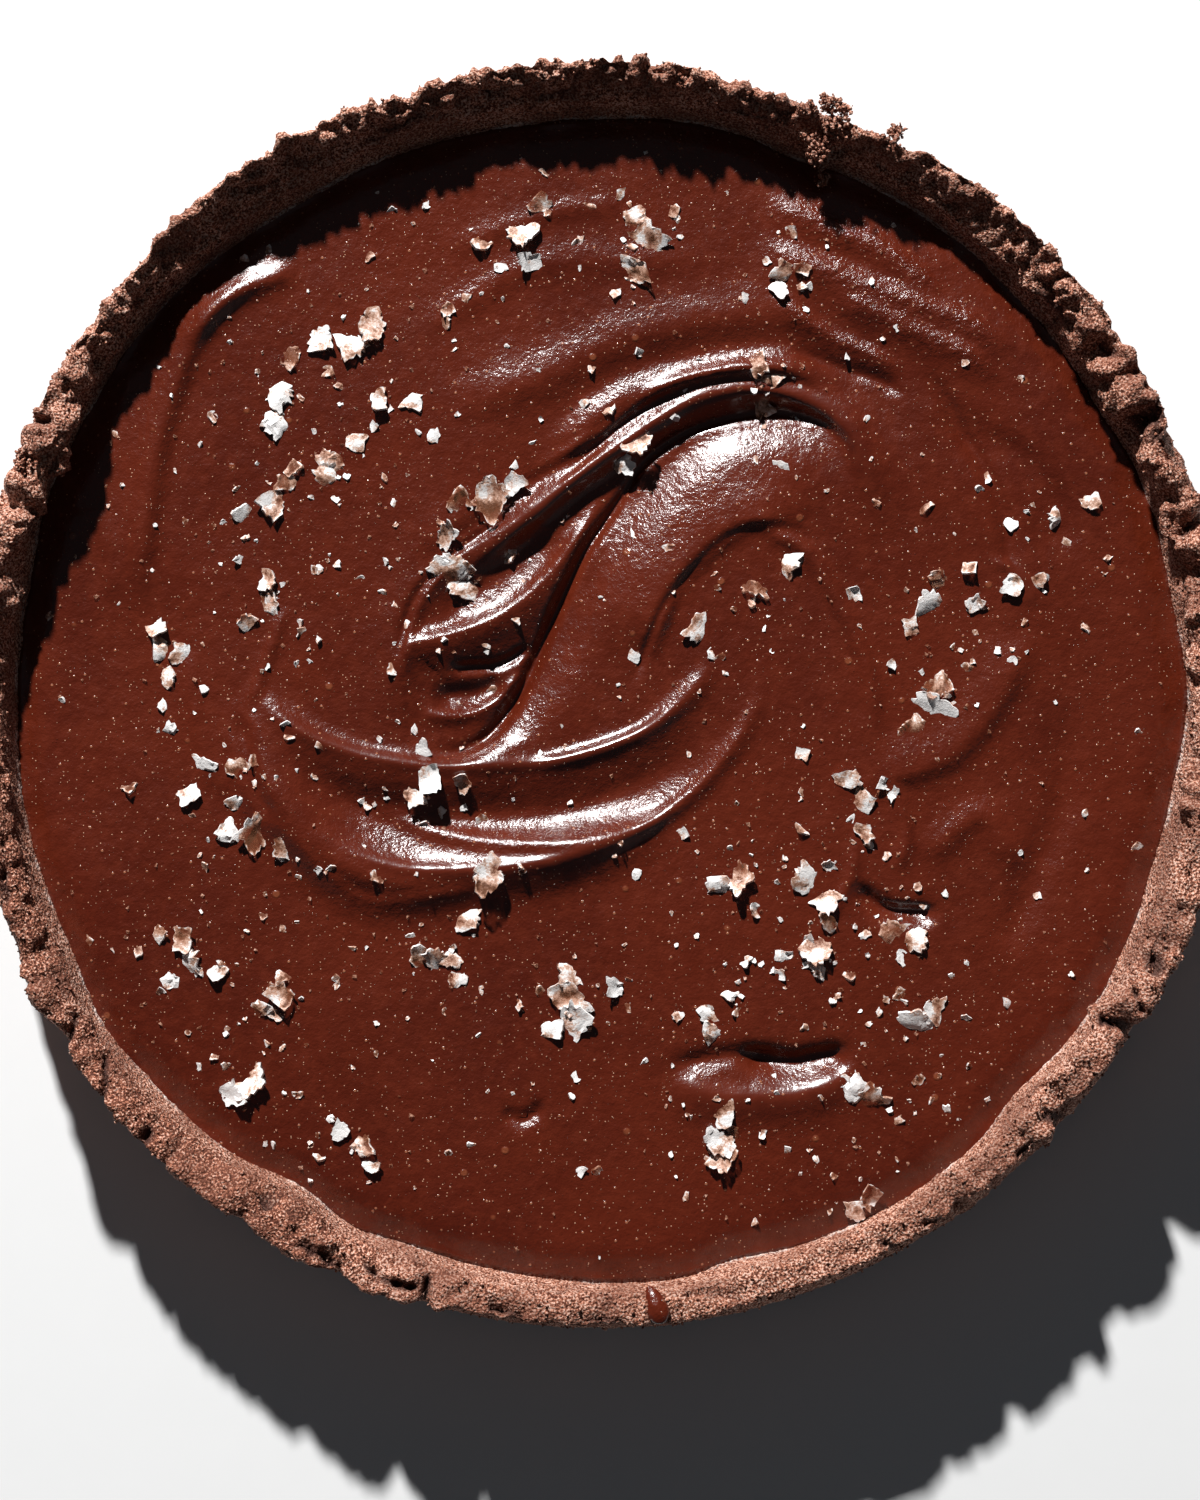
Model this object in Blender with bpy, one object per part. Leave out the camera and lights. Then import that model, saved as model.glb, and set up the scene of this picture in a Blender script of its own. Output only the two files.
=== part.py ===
"""A chocolate tahini tart, 23 cm across, with a pressed crumb crust and a swirled filling.

Two solids: the crust, baked in a straight sided springform tin, and the filling, whose top holds
the strokes of the spoon and the largest flakes of salt. +Y is the far side of the tart, +X its
right. Sizes are millimetres times MM, so everything in Blender is in metres.
"""
import math
import random

import bmesh
import bpy
import numpy as np
from mathutils import Matrix, Vector, noise

MM = 0.001

# The crust
TIN_RADIUS = 115 * MM
BASE_THICKNESS = 5 * MM
FLOOR_RADIUS = 103.5 * MM
CRUST_SECTORS = 144
RIM_HEIGHT = 28 * MM
RIM_UNEVENNESS = 1.3 * MM
RIM_SETBACK = 1.1 * MM
CRAG_DEPTH = 0.75 * MM
CRAG_SIZE = 6 * MM
FINE_CRAG_SIZE = 2.3 * MM

# The filling
FILL_LEVEL = 17.5 * MM
FILL_RADIUS = 107.8 * MM
EDGE_WAVER = 0.6 * MM
EDGE_DIP = 1.9 * MM
EDGE_DIP_WIDTH = 4.2 * MM
GAP = 0.35 * MM
FILL_CELLS = 58
CENTRE_CROWDING = 0.62
SWIRL_CENTRE = (-4 * MM, 6.5 * MM)
SWIRL_SCALE = 0.99
SWIRL_SHIFT = (0, -1.6)

# The salt
SALT_SEED = 42
SMALLEST_SOLID_FLAKE = 5.8 * MM
FLAKE_THICKNESS = 1.1 * MM
FLAKE_TOP = 22.2 * MM
SALT_RADIUS = 103 * MM
SLIVER = 0.002 * MM

# Thick, well browned stretches of the rim that stand out to the full size of the tin, in degrees
PROUD_STRETCHES = ((78.5, 104), (111, 135), (26, 60), (-155, -104), (-32, -12))

# Stretches where the rim is a thin crest with a sloping inside: degrees, and how thin, up to one
THIN_STRETCHES = ((42, 150, 1.0), (166, 202, 0.5), (-12, 11, 0.5))

# Where the inside of the crust bulges in: degrees, width and depth in millimetres
BULGES = (
    (-121, 9, 2.4), (-108, 10, 1.2), (-76, 7, 1.2), (-43, 9, 1.2), (30, 9, 1.2), (168, 9, 0.9),
    (70, 7, 0.9), (-147, 8, -1.1), (0, 8, -0.8),
)

# Cracks and pits in the rim: degrees round it, width and depth in millimetres
RIM_BREAKS = (
    (68, 5, 2.2), (60, 4, 1.2), (34, 6, 2.0), (23, 5, 2.4), (16, 4, 1.8), (-32.5, 4, 3.4),
    (-42, 5, 2.6), (-55, 4, 2.0), (-106, 4, 2.2), (-114, 5, 1.8), (-124, 4, 1.6), (-147, 5, 2.4),
    (162, 6, 2.0), (144, 4, 1.6), (122, 4, 1.2), (-8, 5, 1.6), (-172, 6, 2.2),
)

# Strokes of the spoon: rise, width to the left and to the right of the line, and the line itself,
# all in millimetres; a negative rise is a furrow. SWIRL_SCALE and SWIRL_SHIFT set where the strokes
# and the pinches of salt come on the filling
SPOON_STROKES = {
    "arch_lip": (2.6, 4.6, 1.9, (
        (-30, 22), (-17, 31), (-7, 39), (2.5, 46), (11, 51.5), (19, 56), (28.5, 58), (38, 55),
        (46, 47.5), (50.5, 37), (52, 28))),
    "arch_furrow": (-2.8, 5.5, 14.0, (
        (50.5, 39.5), (43.5, 48), (36, 52), (27.5, 52.5), (19, 50), (9, 42.5), (-1, 29),
        (-9.5, 11), (-18.5, -1), (-32, -9), (-38, -9.5))),
    "far_swell": (1.9, 3.4, 2.0, (
        (-12, 41), (-7, 45.5), (0.5, 53.5), (9, 58.5), (19, 61), (30.5, 63), (49, 60.5),
        (56.5, 57.5))),
    "finger_groove": (-1.2, 2.5, 2.5, ((-34, 21.5), (-28, 28.5), (-15.5, 37.5), (2, 52.5))),
    "mound_step": (1.7, 8.0, 1.6, (
        (8, 6), (11, 14), (14.5, 22.5), (20.5, 28.5), (27.5, 33.5), (34, 34.5), (41, 32))),
    "mound_tail": (1.0, 1.6, 1.5, (
        (27.5, 36.5), (33, 31.5), (39, 28), (45, 18), (49.5, 8), (51, -1), (50, -10.5))),
    "near_crest": (1.5, 2.5, 6.0, (
        (-66, 4), (-62, 0), (-56, -5), (-46.5, -10), (-36, -12), (-26, -12), (-15, -8.5), (-9, -5))),
    "near_crest_end": (1.2, 3.0, 2.4, (
        (-16, -13), (-2, -9.5), (8, -6), (13.5, -1.5), (19.5, 5), (22, 10))),
    "fold_inner": (1.3, 2.2, 2.2, (
        (-46, -16), (-39.4, -20), (-32.5, -22.9), (-23.8, -25), (-15, -25.8), (-5, -25.8), (3.8, -24.2),
        (11.3, -21.3), (18.8, -15.4), (25.1, -7.9), (29.5, -0.3), (31, 8))),
    "fold_outer": (2.9, 5.5, 4.0, (
        (-68, 3), (-66.5, -2.5), (-64, -10.5), (-57.5, -20), (-48.5, -29), (-36.5, -33),
        (-24.5, -32), (-7.5, -29.5), (7, -24.5), (14, -19))),
    "near_trough": (-1.5, 4.0, 4.0, (
        (-60, -6), (-50, -15), (-40, -20), (-25, -20.5), (-5, -19.5), (12, -13), (24, 0))),
    "finger_edge": (0.9, 1.6, 6.0, (
        (-18, 34), (-22.5, 31.5), (-29, 24.5), (-33.5, 17.5), (-36, 9), (-35.5, 1.5), (-33, -5))),
    "finger_cup": (-1.5, 3.2, 3.2, ((-30, 15), (-24, 20.5), (-16, 26), (-8, 34))),
    "finger_crest": (2.0, 2.0, 4.5, (
        (-36.5, 2), (-35.5, 6), (-33.5, 10.5), (-26.5, 12.5), (-17, 16.5), (-9, 23.5), (-2, 33),
        (2, 40))),
    "finger_eye": (-1.4, 2.0, 2.0, ((-31, 0.5), (-27, 1.6), (-22, 2.2), (-17, 4.5))),
    "left_wave": (0.9, 3.0, 4.0, ((-56, 84), (-68, 71.5), (-78, 50), (-82.5, 31.5), (-83.5, 11))),
    "left_tip": (1.8, 2.6, 2.2, ((-76, 66), (-71, 73), (-66, 77), (-60, 79.5), (-55, 82))),
    "far_wave": (1.2, 5.0, 4.0, ((-31, 54.5), (-12, 60), (8, 68.5), (28.5, 72), (45, 70))),
    "far_right_wave": (1.3, 3.0, 3.0, ((19, 96), (38, 92.5), (53, 87), (68.5, 80))),
    "right_wave": (1.3, 3.0, 3.0, ((34, 81.5), (49, 77.5), (62, 72.5), (73, 64))),
    "right_crease": (-0.8, 2.0, 2.5, ((62, 56), (72, 45.5), (76.5, 29.5), (82.5, 14.5))),
    "crescent": (1.2, 2.2, 6.0, (
        (80, 14), (78, 7.5), (72, -3), (64.5, -10.5), (52.5, -14), (48, -14))),
    "small_crescent": (0.9, 3.0, 2.2, ((60.5, -30.5), (65.5, -24.5), (72, -21.5), (78, -32.5))),
    "tail_slit": (-2.0, 1.3, 2.2, ((47.5, -33), (52.5, -37.5), (58, -38.5), (64, -38.5))),
    "dab": (1.4, 2.4, 4.0, ((14, -69), (22.5, -72.5), (31, -72.5), (40, -71), (50, -66.5))),
    "dab_hollow": (-2.4, 1.5, 3.0, ((25.5, -64), (34, -66), (42, -64.8), (47.5, -64))),
}

# Pinches of salt: centre, reach, number of flakes and size of the largest, in millimetres
SALT_PINCHES = (
    (-60, 59, 9, 4, 10), (-45, 68, 6, 3, 8.5), (-50, 45, 7, 4, 7.5), (-20, 38, 6, 3, 7.5),
    (-27, 25, 6, 3, 8), (9, 86, 5, 3, 8.5), (-14, 88, 9, 4, 6.5), (32, 61, 5, 3, 7.5),
    (35, 80, 4, 3, 5.2), (4, 45, 5, 2, 6.5), (35, 26, 6, 2, 7.8), (19, 14, 4, 1, 6.7),
    (62, 18, 8, 4, 6.5), (62, -1, 5, 3, 8.5), (49, -18, 6, 3, 6.7), (26, -33, 4, 2, 7),
    (39, -33, 5, 2, 7), (54, -43, 5, 2, 7), (40, -46, 7, 4, 6.3), (59, -60, 4, 2, 7),
    (50, -74, 4, 2, 7.8), (22, -81, 5, 3, 7.4), (21, -58, 7, 4, 5.4), (-5, -55, 8, 5, 8.5),
    (-20, -32, 9, 2, 7.8), (-29, -48, 5, 4, 6.7), (-76, -48, 8, 5, 7), (-58, -54, 5, 3, 5.5),
    (-64, -70, 4, 2, 7), (-44, -81, 5, 3, 5.4), (-63, -24, 8, 4, 7), (-73, -12, 9, 4, 6.7),
    (-80, 10, 6, 4, 6.7), (-61, 18, 6, 3, 5.5), (-31, -14, 7, 4, 6.3), (-35, 57, 8, 3, 5.4),
    (77, 22, 8, 3, 5), (86, 34, 9, 3, 5), (50, -91, 4, 2, 5.4), (-60, 37, 7, 3, 6),
)


def clear_scene():
    for item in list(bpy.data.objects):
        bpy.data.objects.remove(item, do_unlink=True)


def make_material(name, colour, roughness):
    material = bpy.data.materials.new(name)
    material.use_nodes = True
    shader = material.node_tree.nodes["Principled BSDF"]
    shader.inputs["Base Color"].default_value = (*colour, 1)
    shader.inputs["Roughness"].default_value = roughness
    shader.inputs["Metallic"].default_value = 0
    material.diffuse_color = (*colour, 1)
    return material


def make_object(name, bm, material):
    bmesh.ops.triangulate(bm, faces=bm.faces)
    bmesh.ops.recalc_face_normals(bm, faces=bm.faces)
    mesh = bpy.data.meshes.new(name)
    bm.to_mesh(mesh)
    bm.free()
    item = bpy.data.objects.new(name, mesh)
    item.data.materials.append(material)
    bpy.context.scene.collection.objects.link(item)
    return item


def smooth_step(value):
    value = min(1, max(0, value))
    return value * value * (3 - 2 * value)


def degrees_past(angle, degrees):
    """How far round this angle is from the given one, from -180 to 180."""
    return (np.degrees(angle) - degrees + 180) % 360 - 180


def ring_noise(angle, cycles, seed):
    """A value from about -1 to 1 that runs smoothly and without a seam round the tart."""
    place = Vector((math.cos(angle) * cycles / 3, math.sin(angle) * cycles / 3, seed))
    return 1.6 * noise.noise(place)


def roughness_at(place, seed):
    """Three values from about -0.7 to 0.7 that change over the length of one unit."""
    return Vector([noise.noise(place + Vector((seed + 17 * axis, 5, 2))) for axis in range(3)])


def edge_waver(angle):
    """How far the line where the filling meets the wall strays from a true circle."""
    waver = EDGE_WAVER * (0.5 * np.sin(5 * angle + 1) + 0.5 * np.sin(13 * angle + 2))
    for degrees, width, depth in BULGES:
        away = np.radians(degrees_past(angle, degrees)) * FILL_RADIUS / (width * MM)
        waver = waver - depth * MM * np.exp(-away * away)
    return waver


def wall_radius(angle, height):
    """The inner face of the crust, which thickens toward the floor."""
    share = (height - BASE_THICKNESS) / (FILL_LEVEL - BASE_THICKNESS)
    return FLOOR_RADIUS + (FILL_RADIUS - FLOOR_RADIUS) * share + edge_waver(angle)


def inside_stretch(angle, start, end, blend):
    """One between the two angles and none outside, eased over blend degrees."""
    middle = (start + end) / 2
    inside = (end - start) / 2 - abs(degrees_past(angle, middle))
    return smooth_step(0.5 + inside / blend)


def proudness(angle):
    """One on the stretches of the rim that stand out and none between them."""
    return max(inside_stretch(angle, start, end, 3) for start, end in PROUD_STRETCHES)


def thinness(angle):
    """One where the rim is a thin crest and none where it is broad."""
    return max(share * inside_stretch(angle, start, end, 6) for start, end, share in THIN_STRETCHES)


def break_depth(angle):
    """How deep the cracks and pits go at this angle."""
    depth = 0
    for degrees, width, deepest in RIM_BREAKS:
        away = math.radians(degrees_past(angle, degrees)) * TIN_RADIUS / (width * MM)
        depth = max(depth, deepest * MM * math.exp(-4 * away * away))
    return depth


def crust_profile(thin):
    """Half the cross-section, from the centre of the underside out, over the rim and back in."""
    rim_inner = FILL_RADIUS + 0.9 * MM
    return (
        (0, 0),
        (TIN_RADIUS - 2.2 * MM, 0),
        (TIN_RADIUS - 0.6 * MM, 0.9 * MM),
        (TIN_RADIUS, 2.8 * MM),
        (TIN_RADIUS, 18 * MM),
        (TIN_RADIUS - 0.1 * MM, RIM_HEIGHT - 2.4 * MM),
        (TIN_RADIUS - 0.4 * MM, RIM_HEIGHT - 0.8 * MM),
        (TIN_RADIUS - 1.6 * MM, RIM_HEIGHT),
        (TIN_RADIUS - (4.2 - 1.0 * thin) * MM, RIM_HEIGHT - (0.3 + 0.7 * thin) * MM),
        (rim_inner + (0.7 + 0.9 * thin) * MM, RIM_HEIGHT - (1.0 + 3.0 * thin) * MM),
        (rim_inner + 0.3 * thin * MM, RIM_HEIGHT - (3.0 + 3.0 * thin) * MM),
        (FILL_RADIUS + 0.5 * MM, FILL_LEVEL + 2 * MM),
        (FILL_RADIUS - 0.7 * MM, FILL_LEVEL - 2 * MM),
        (FLOOR_RADIUS, BASE_THICKNESS),
        (0, BASE_THICKNESS),
    )


def crumble(place, angle, row):
    """Move a point of the plain turned crust to where the baked and broken one has it."""
    radius, height = crust_profile(thinness(angle))[row]
    if radius < 1 * MM:
        return
    place.x, place.y, place.z = radius * math.cos(angle), radius * math.sin(angle), height
    inside = radius < TIN_RADIUS - 6 * MM
    if inside:
        radius += edge_waver(angle)
    top = smooth_step((height - 20 * MM) / (6 * MM))
    if top > 0:
        broken = break_depth(angle)
        height += top * RIM_UNEVENNESS * ring_noise(angle, 26, 5)
        height -= top * 0.8 * broken
        rough = 1.6 * roughness_at(place / CRAG_SIZE, 3) + 1.3 * roughness_at(place / FINE_CRAG_SIZE, 9)
        rough *= CRAG_DEPTH * top
        outward = Vector((math.cos(angle), math.sin(angle), 0))
        height += rough.z * 1.3
        if inside:
            radius += top * rough.dot(outward)
        else:
            setback = RIM_SETBACK * (1 - proudness(angle)) * (1 + 0.6 * ring_noise(angle, 17, 2))
            radius -= top * (max(0, setback) + 0.7 * broken + abs(rough.dot(outward)) * 0.8)
    place.x = radius * math.cos(angle)
    place.y = radius * math.sin(angle)
    place.z = height


def make_crust():
    bm = bmesh.new()
    rows = bm.verts.layers.int.new("row")
    corners = [bm.verts.new((radius, 0, height)) for radius, height in crust_profile(0)]
    for row, corner in enumerate(corners):
        corner[rows] = row
    edges = [bm.edges.new(pair) for pair in zip(corners, corners[1:])]
    bmesh.ops.spin(
        bm, geom=corners + edges, cent=(0, 0, 0), axis=(0, 0, 1), angle=2 * math.pi,
        steps=CRUST_SECTORS, use_merge=True)
    bmesh.ops.remove_doubles(bm, verts=bm.verts, dist=0.01 * MM)
    for corner in bm.verts:
        crumble(corner.co, math.atan2(corner.co.y, corner.co.x), corner[rows])
    return make_object("crust", bm, make_material("crumb_crust", (0.115, 0.052, 0.033), 0.85))


def on_filling(points):
    """Where points of the swirl's drawing lie on the filling, in millimetres."""
    return np.array(points, float) * SWIRL_SCALE + SWIRL_SHIFT


def smooth_path(points, step=0.8):
    """Points every step millimetres on a smooth curve through the given ones."""
    given = on_filling(points)
    given = np.vstack([2 * given[0] - given[1], given, 2 * given[-1] - given[-2]])
    pieces = []
    for a, b, c, d in zip(given, given[1:], given[2:], given[3:]):
        count = max(2, int(np.hypot(*(c - b)) / step))
        t = np.linspace(0, 1, count, endpoint=False)[:, None]
        pieces.append(0.5 * (
            2 * b + (c - a) * t + (2 * a - 5 * b + 4 * c - d) * t ** 2
            + (3 * b - a - 3 * c + d) * t ** 3))
    return np.vstack(pieces + [given[-2][None]]) * MM


def stroke_height(x, y, rise, left, right, points):
    """The height that one stroke adds: full on its line, falling off to each side and its ends."""
    path = smooth_path(points)
    nearest = np.full(x.shape, np.inf)
    side = np.zeros(x.shape)
    along = np.zeros(x.shape)
    for index, (start, end) in enumerate(zip(path, path[1:])):
        length = np.hypot(*(end - start))
        ux, uy = (end - start) / length
        t = np.clip((x - start[0]) * ux + (y - start[1]) * uy, 0, length)
        dx = x - start[0] - t * ux
        dy = y - start[1] - t * uy
        away = np.hypot(dx, dy)
        closer = away < nearest
        nearest[closer] = away[closer]
        side[closer] = (ux * dy - uy * dx)[closer]
        along[closer] = (index + t / length)[closer] / (len(path) - 1)
    width = np.where(side > 0, left, right) * MM
    ends = np.clip(np.minimum(along, 1 - along) / 0.22, 0, 1)
    return rise * MM * np.exp(-(nearest / width) ** 2) * ends * ends * (3 - 2 * ends)


def slow_waves(x, y):
    """The gentle unevenness that the spoon leaves between its strokes."""
    draws = random.Random(3)
    height = np.zeros(x.shape)
    for _ in range(12):
        heading = draws.uniform(0, math.pi)
        wavelength = draws.uniform(45, 160) * MM
        phase = draws.uniform(0, 2 * math.pi)
        run = x * math.cos(heading) + y * math.sin(heading)
        height += 0.0014 * wavelength * np.sin(run * 2 * math.pi / wavelength + phase)
    return height


def filling_height(x, y):
    """The top of the filling over any points of the tart."""
    x = np.asarray(x, float)
    y = np.asarray(y, float)
    from_wall = wall_radius(np.arctan2(y, x), FILL_LEVEL) - np.hypot(x, y)
    height = FILL_LEVEL + slow_waves(x, y) - EDGE_DIP * np.exp(-(from_wall / EDGE_DIP_WIDTH) ** 2)
    for stroke in SPOON_STROKES.values():
        height = height + stroke_height(x, y, *stroke)
    return height


def disc_place(u, v):
    """Where a corner of a square grid, from -1 to 1 each way, goes on the round filling."""
    across = u * math.sqrt(1 - v * v / 2)
    up = v * math.sqrt(1 - u * u / 2)
    share = math.hypot(across, up)
    angle = math.atan2(up, across)
    share *= CENTRE_CROWDING + (1 - CENTRE_CROWDING) * share * share
    radius = (wall_radius(angle, FILL_LEVEL - EDGE_DIP) - GAP) * share
    x = radius * math.cos(angle) + SWIRL_CENTRE[0] * (1 - share)
    y = radius * math.sin(angle) + SWIRL_CENTRE[1] * (1 - share)
    return x, y


def make_filling():
    bm = bmesh.new()
    bmesh.ops.create_grid(bm, x_segments=FILL_CELLS, y_segments=FILL_CELLS, size=1)
    rim = [edge for edge in bm.edges if edge.is_boundary]
    for corner in bm.verts:
        corner.co.x, corner.co.y = disc_place(corner.co.x, corner.co.y)
    heights = filling_height([c.co.x for c in bm.verts], [c.co.y for c in bm.verts])
    for corner, height in zip(bm.verts, heights):
        corner.co.z = height
    walls = bmesh.ops.extrude_edge_only(bm, edges=rim)["geom"]
    underside = BASE_THICKNESS + GAP
    for corner in (item for item in walls if isinstance(item, bmesh.types.BMVert)):
        angle = math.atan2(corner.co.y, corner.co.x)
        radius = wall_radius(angle, underside) - GAP
        corner.co = (radius * math.cos(angle), radius * math.sin(angle), underside)
    bmesh.ops.holes_fill(bm, edges=[edge for edge in bm.edges if edge.is_boundary], sides=0)
    return make_object("filling", bm, make_material("dark_ganache", (0.105, 0.021, 0.011), 0.28))


def salt_flakes():
    """Every flake of the pinches: place, size, proportion, turn and tilt, by seeded draws."""
    draws = random.Random(SALT_SEED)
    flakes = []
    for drawn_x, drawn_y, reach, count, largest in SALT_PINCHES:
        x, y = on_filling((drawn_x, drawn_y))
        heading = draws.uniform(0, 2 * math.pi)
        for index in range(count):
            away = reach * MM * math.sqrt(index / max(1, count - 1)) * draws.uniform(0.8, 1.1)
            heading += 2.4 + draws.uniform(-0.4, 0.4)
            flakes.append({
                "x": x * MM + away * math.cos(heading),
                "y": y * MM + away * math.sin(heading),
                "size": largest * MM * 0.84 ** index,
                "proportion": draws.uniform(0.62, 0.98),
                "turn": draws.uniform(0, math.pi),
                "tilt": draws.uniform(-0.45, 0.45),
                "roll": draws.uniform(-0.45, 0.45),
            })
    return flakes


def add_flake(name, flake, surface, draws):
    """One broken square plate of salt, half sunk in the filling."""
    bm = bmesh.new()
    bmesh.ops.create_cube(bm, size=1)
    long_side = flake["size"]
    short_side = flake["size"] * flake["proportion"]
    for corner in bm.verts:
        taper = 0.82 if corner.co.z > 0 else 1
        corner.co.x *= long_side * taper * draws.uniform(0.78, 1)
        corner.co.y *= short_side * taper * draws.uniform(0.78, 1)
        corner.co.z *= FLAKE_THICKNESS
    turn = (
        Matrix.Rotation(flake["turn"], 4, "Z") @ Matrix.Rotation(flake["tilt"], 4, "X")
        @ Matrix.Rotation(flake["roll"], 4, "Y"))
    bmesh.ops.transform(bm, matrix=turn, verts=bm.verts)
    lift = surface + 0.25 * MM
    highest = max(corner.co.z for corner in bm.verts) + lift
    lift -= max(0, highest - FLAKE_TOP)
    bmesh.ops.translate(bm, vec=(flake["x"], flake["y"], lift), verts=bm.verts)
    bmesh.ops.triangulate(bm, faces=bm.faces)
    bmesh.ops.recalc_face_normals(bm, faces=bm.faces)
    mesh = bpy.data.meshes.new(name)
    bm.to_mesh(mesh)
    bm.free()
    return bpy.data.objects.new(name, mesh)


def drop_slivers(mesh):
    """Merge what the union leaves thinner than a grain of dust."""
    bm = bmesh.new()
    bm.from_mesh(mesh)
    bmesh.ops.remove_doubles(bm, verts=bm.verts, dist=SLIVER)
    bmesh.ops.dissolve_degenerate(bm, edges=bm.edges, dist=SLIVER)
    bmesh.ops.triangulate(bm, faces=bm.faces, ngon_method="BEAUTY")
    bm.to_mesh(mesh)
    bm.free()


def fuse_salt(filling):
    """Join the larger flakes to the filling in one union."""
    pinch = bpy.data.collections.new("salt_to_fuse")
    bpy.context.scene.collection.children.link(pinch)
    draws = random.Random(SALT_SEED + 1)
    chosen = [
        flake for flake in salt_flakes()
        if flake["size"] >= SMALLEST_SOLID_FLAKE and math.hypot(flake["x"], flake["y"]) < SALT_RADIUS]
    levels = filling_height([flake["x"] for flake in chosen], [flake["y"] for flake in chosen])
    for index, (flake, level) in enumerate(zip(chosen, levels)):
        pinch.objects.link(add_flake(f"salt_{index}", flake, level, draws))
    union = filling.modifiers.new("salt", "BOOLEAN")
    union.operation = "UNION"
    union.operand_type = "COLLECTION"
    union.collection = pinch
    union.solver = "EXACT"
    bpy.context.view_layer.update()
    fused = bpy.data.meshes.new_from_object(filling.evaluated_get(bpy.context.evaluated_depsgraph_get()))
    filling.modifiers.clear()
    drop_slivers(fused)
    filling.data = fused
    for item in list(pinch.objects):
        bpy.data.objects.remove(item, do_unlink=True)
    bpy.data.collections.remove(pinch)


def shade_smooth(item, sharpest):
    item.data.shade_smooth()
    item.data.set_sharp_from_angle(angle=math.radians(sharpest))


def main():
    clear_scene()
    crust = make_crust()
    filling = make_filling()
    fuse_salt(filling)
    shade_smooth(crust, 35)
    shade_smooth(filling, 35)


main()
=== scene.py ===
import functools
import math
import random

import bmesh
import bpy
import numpy as np
from mathutils import Euler, Matrix, Vector, kdtree, noise


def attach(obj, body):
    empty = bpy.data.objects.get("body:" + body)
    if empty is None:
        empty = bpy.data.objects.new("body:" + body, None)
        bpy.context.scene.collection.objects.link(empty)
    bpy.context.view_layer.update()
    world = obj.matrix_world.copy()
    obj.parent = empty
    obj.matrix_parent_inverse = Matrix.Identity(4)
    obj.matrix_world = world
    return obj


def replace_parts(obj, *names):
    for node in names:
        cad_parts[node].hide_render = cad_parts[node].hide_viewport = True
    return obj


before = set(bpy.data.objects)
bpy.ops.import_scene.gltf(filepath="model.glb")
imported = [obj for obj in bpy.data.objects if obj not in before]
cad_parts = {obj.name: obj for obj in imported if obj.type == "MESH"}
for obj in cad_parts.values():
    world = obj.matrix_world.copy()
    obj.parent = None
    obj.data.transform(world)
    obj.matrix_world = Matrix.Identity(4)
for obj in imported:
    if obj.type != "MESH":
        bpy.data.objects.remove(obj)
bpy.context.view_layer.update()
mm = 0.001
print("tart: frame loaded")


# helpers that several pieces share

def smoothStep(value):
    value = min(1, max(0, value))
    return value * value * (3 - 2 * value)


def noiseAt(place, size, shift=0.0):  # smooth noise, from about -0.7 to 0.7, with lumps of this size
    return noise.noise(place / size + Vector((shift, 0.37 * shift, 1.9)))


def meshFrom(name, bm):
    mesh = bpy.data.meshes.new(name)
    bm.to_mesh(mesh)
    bm.free()
    return mesh


def linkedObject(name, data):
    item = bpy.data.objects.new(name, data)
    bpy.context.scene.collection.objects.link(item)
    return item


def newPiece(name, bm, finish):  # a bmesh becomes a piece that rides on the tart's one body
    mesh = meshFrom(name, bm)
    mesh.materials.append(finish)
    mesh.shade_smooth()
    piece = linkedObject(name, mesh)
    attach(piece, "root")
    return piece


def addLayers(bm, names):  # numbers that each corner carries; a new one moves those kept from before
    for name in names:
        bm.verts.layers.float.new(name)
    return {name: bm.verts.layers.float[name] for name in names}


def newCorners(made):  # the corners among what an extrusion made
    return (item for item in made["geom"] if isinstance(item, bmesh.types.BMVert))


def addCopy(bm, mesh, matrix):  # puts a turned and moved copy of a small mesh into a growing one
    mesh.transform(matrix)
    bm.from_mesh(mesh)
    mesh.transform(matrix.inverted())


# shader maths: a Signal is a socket that can be added and multiplied, a Finish makes the nodes

class Signal:
    def __init__(self, finish, socket):
        self.finish = finish
        self.socket = socket

    def math(self, operation, *values):
        return self.finish.node("Math", {"operation": operation}, dict(enumerate(values)))

    def __add__(self, other):
        return self.math("ADD", self, other)

    def __radd__(self, other):
        return self.math("ADD", other, self)

    def __sub__(self, other):
        return self.math("SUBTRACT", self, other)

    def __rsub__(self, other):
        return self.math("SUBTRACT", other, self)

    def __mul__(self, other):
        return self.math("MULTIPLY", self, other)

    def __rmul__(self, other):
        return self.math("MULTIPLY", other, self)

    def __gt__(self, other):
        return self.math("GREATER_THAN", self, other)

    def between(self, low, high):  # 0 at low and 1 at high, eased
        return self.finish.node(
            "MapRange", {"interpolation_type": "SMOOTHSTEP"}, {0: self, 1: low, 2: high, 3: 0.0, 4: 1.0})


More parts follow.
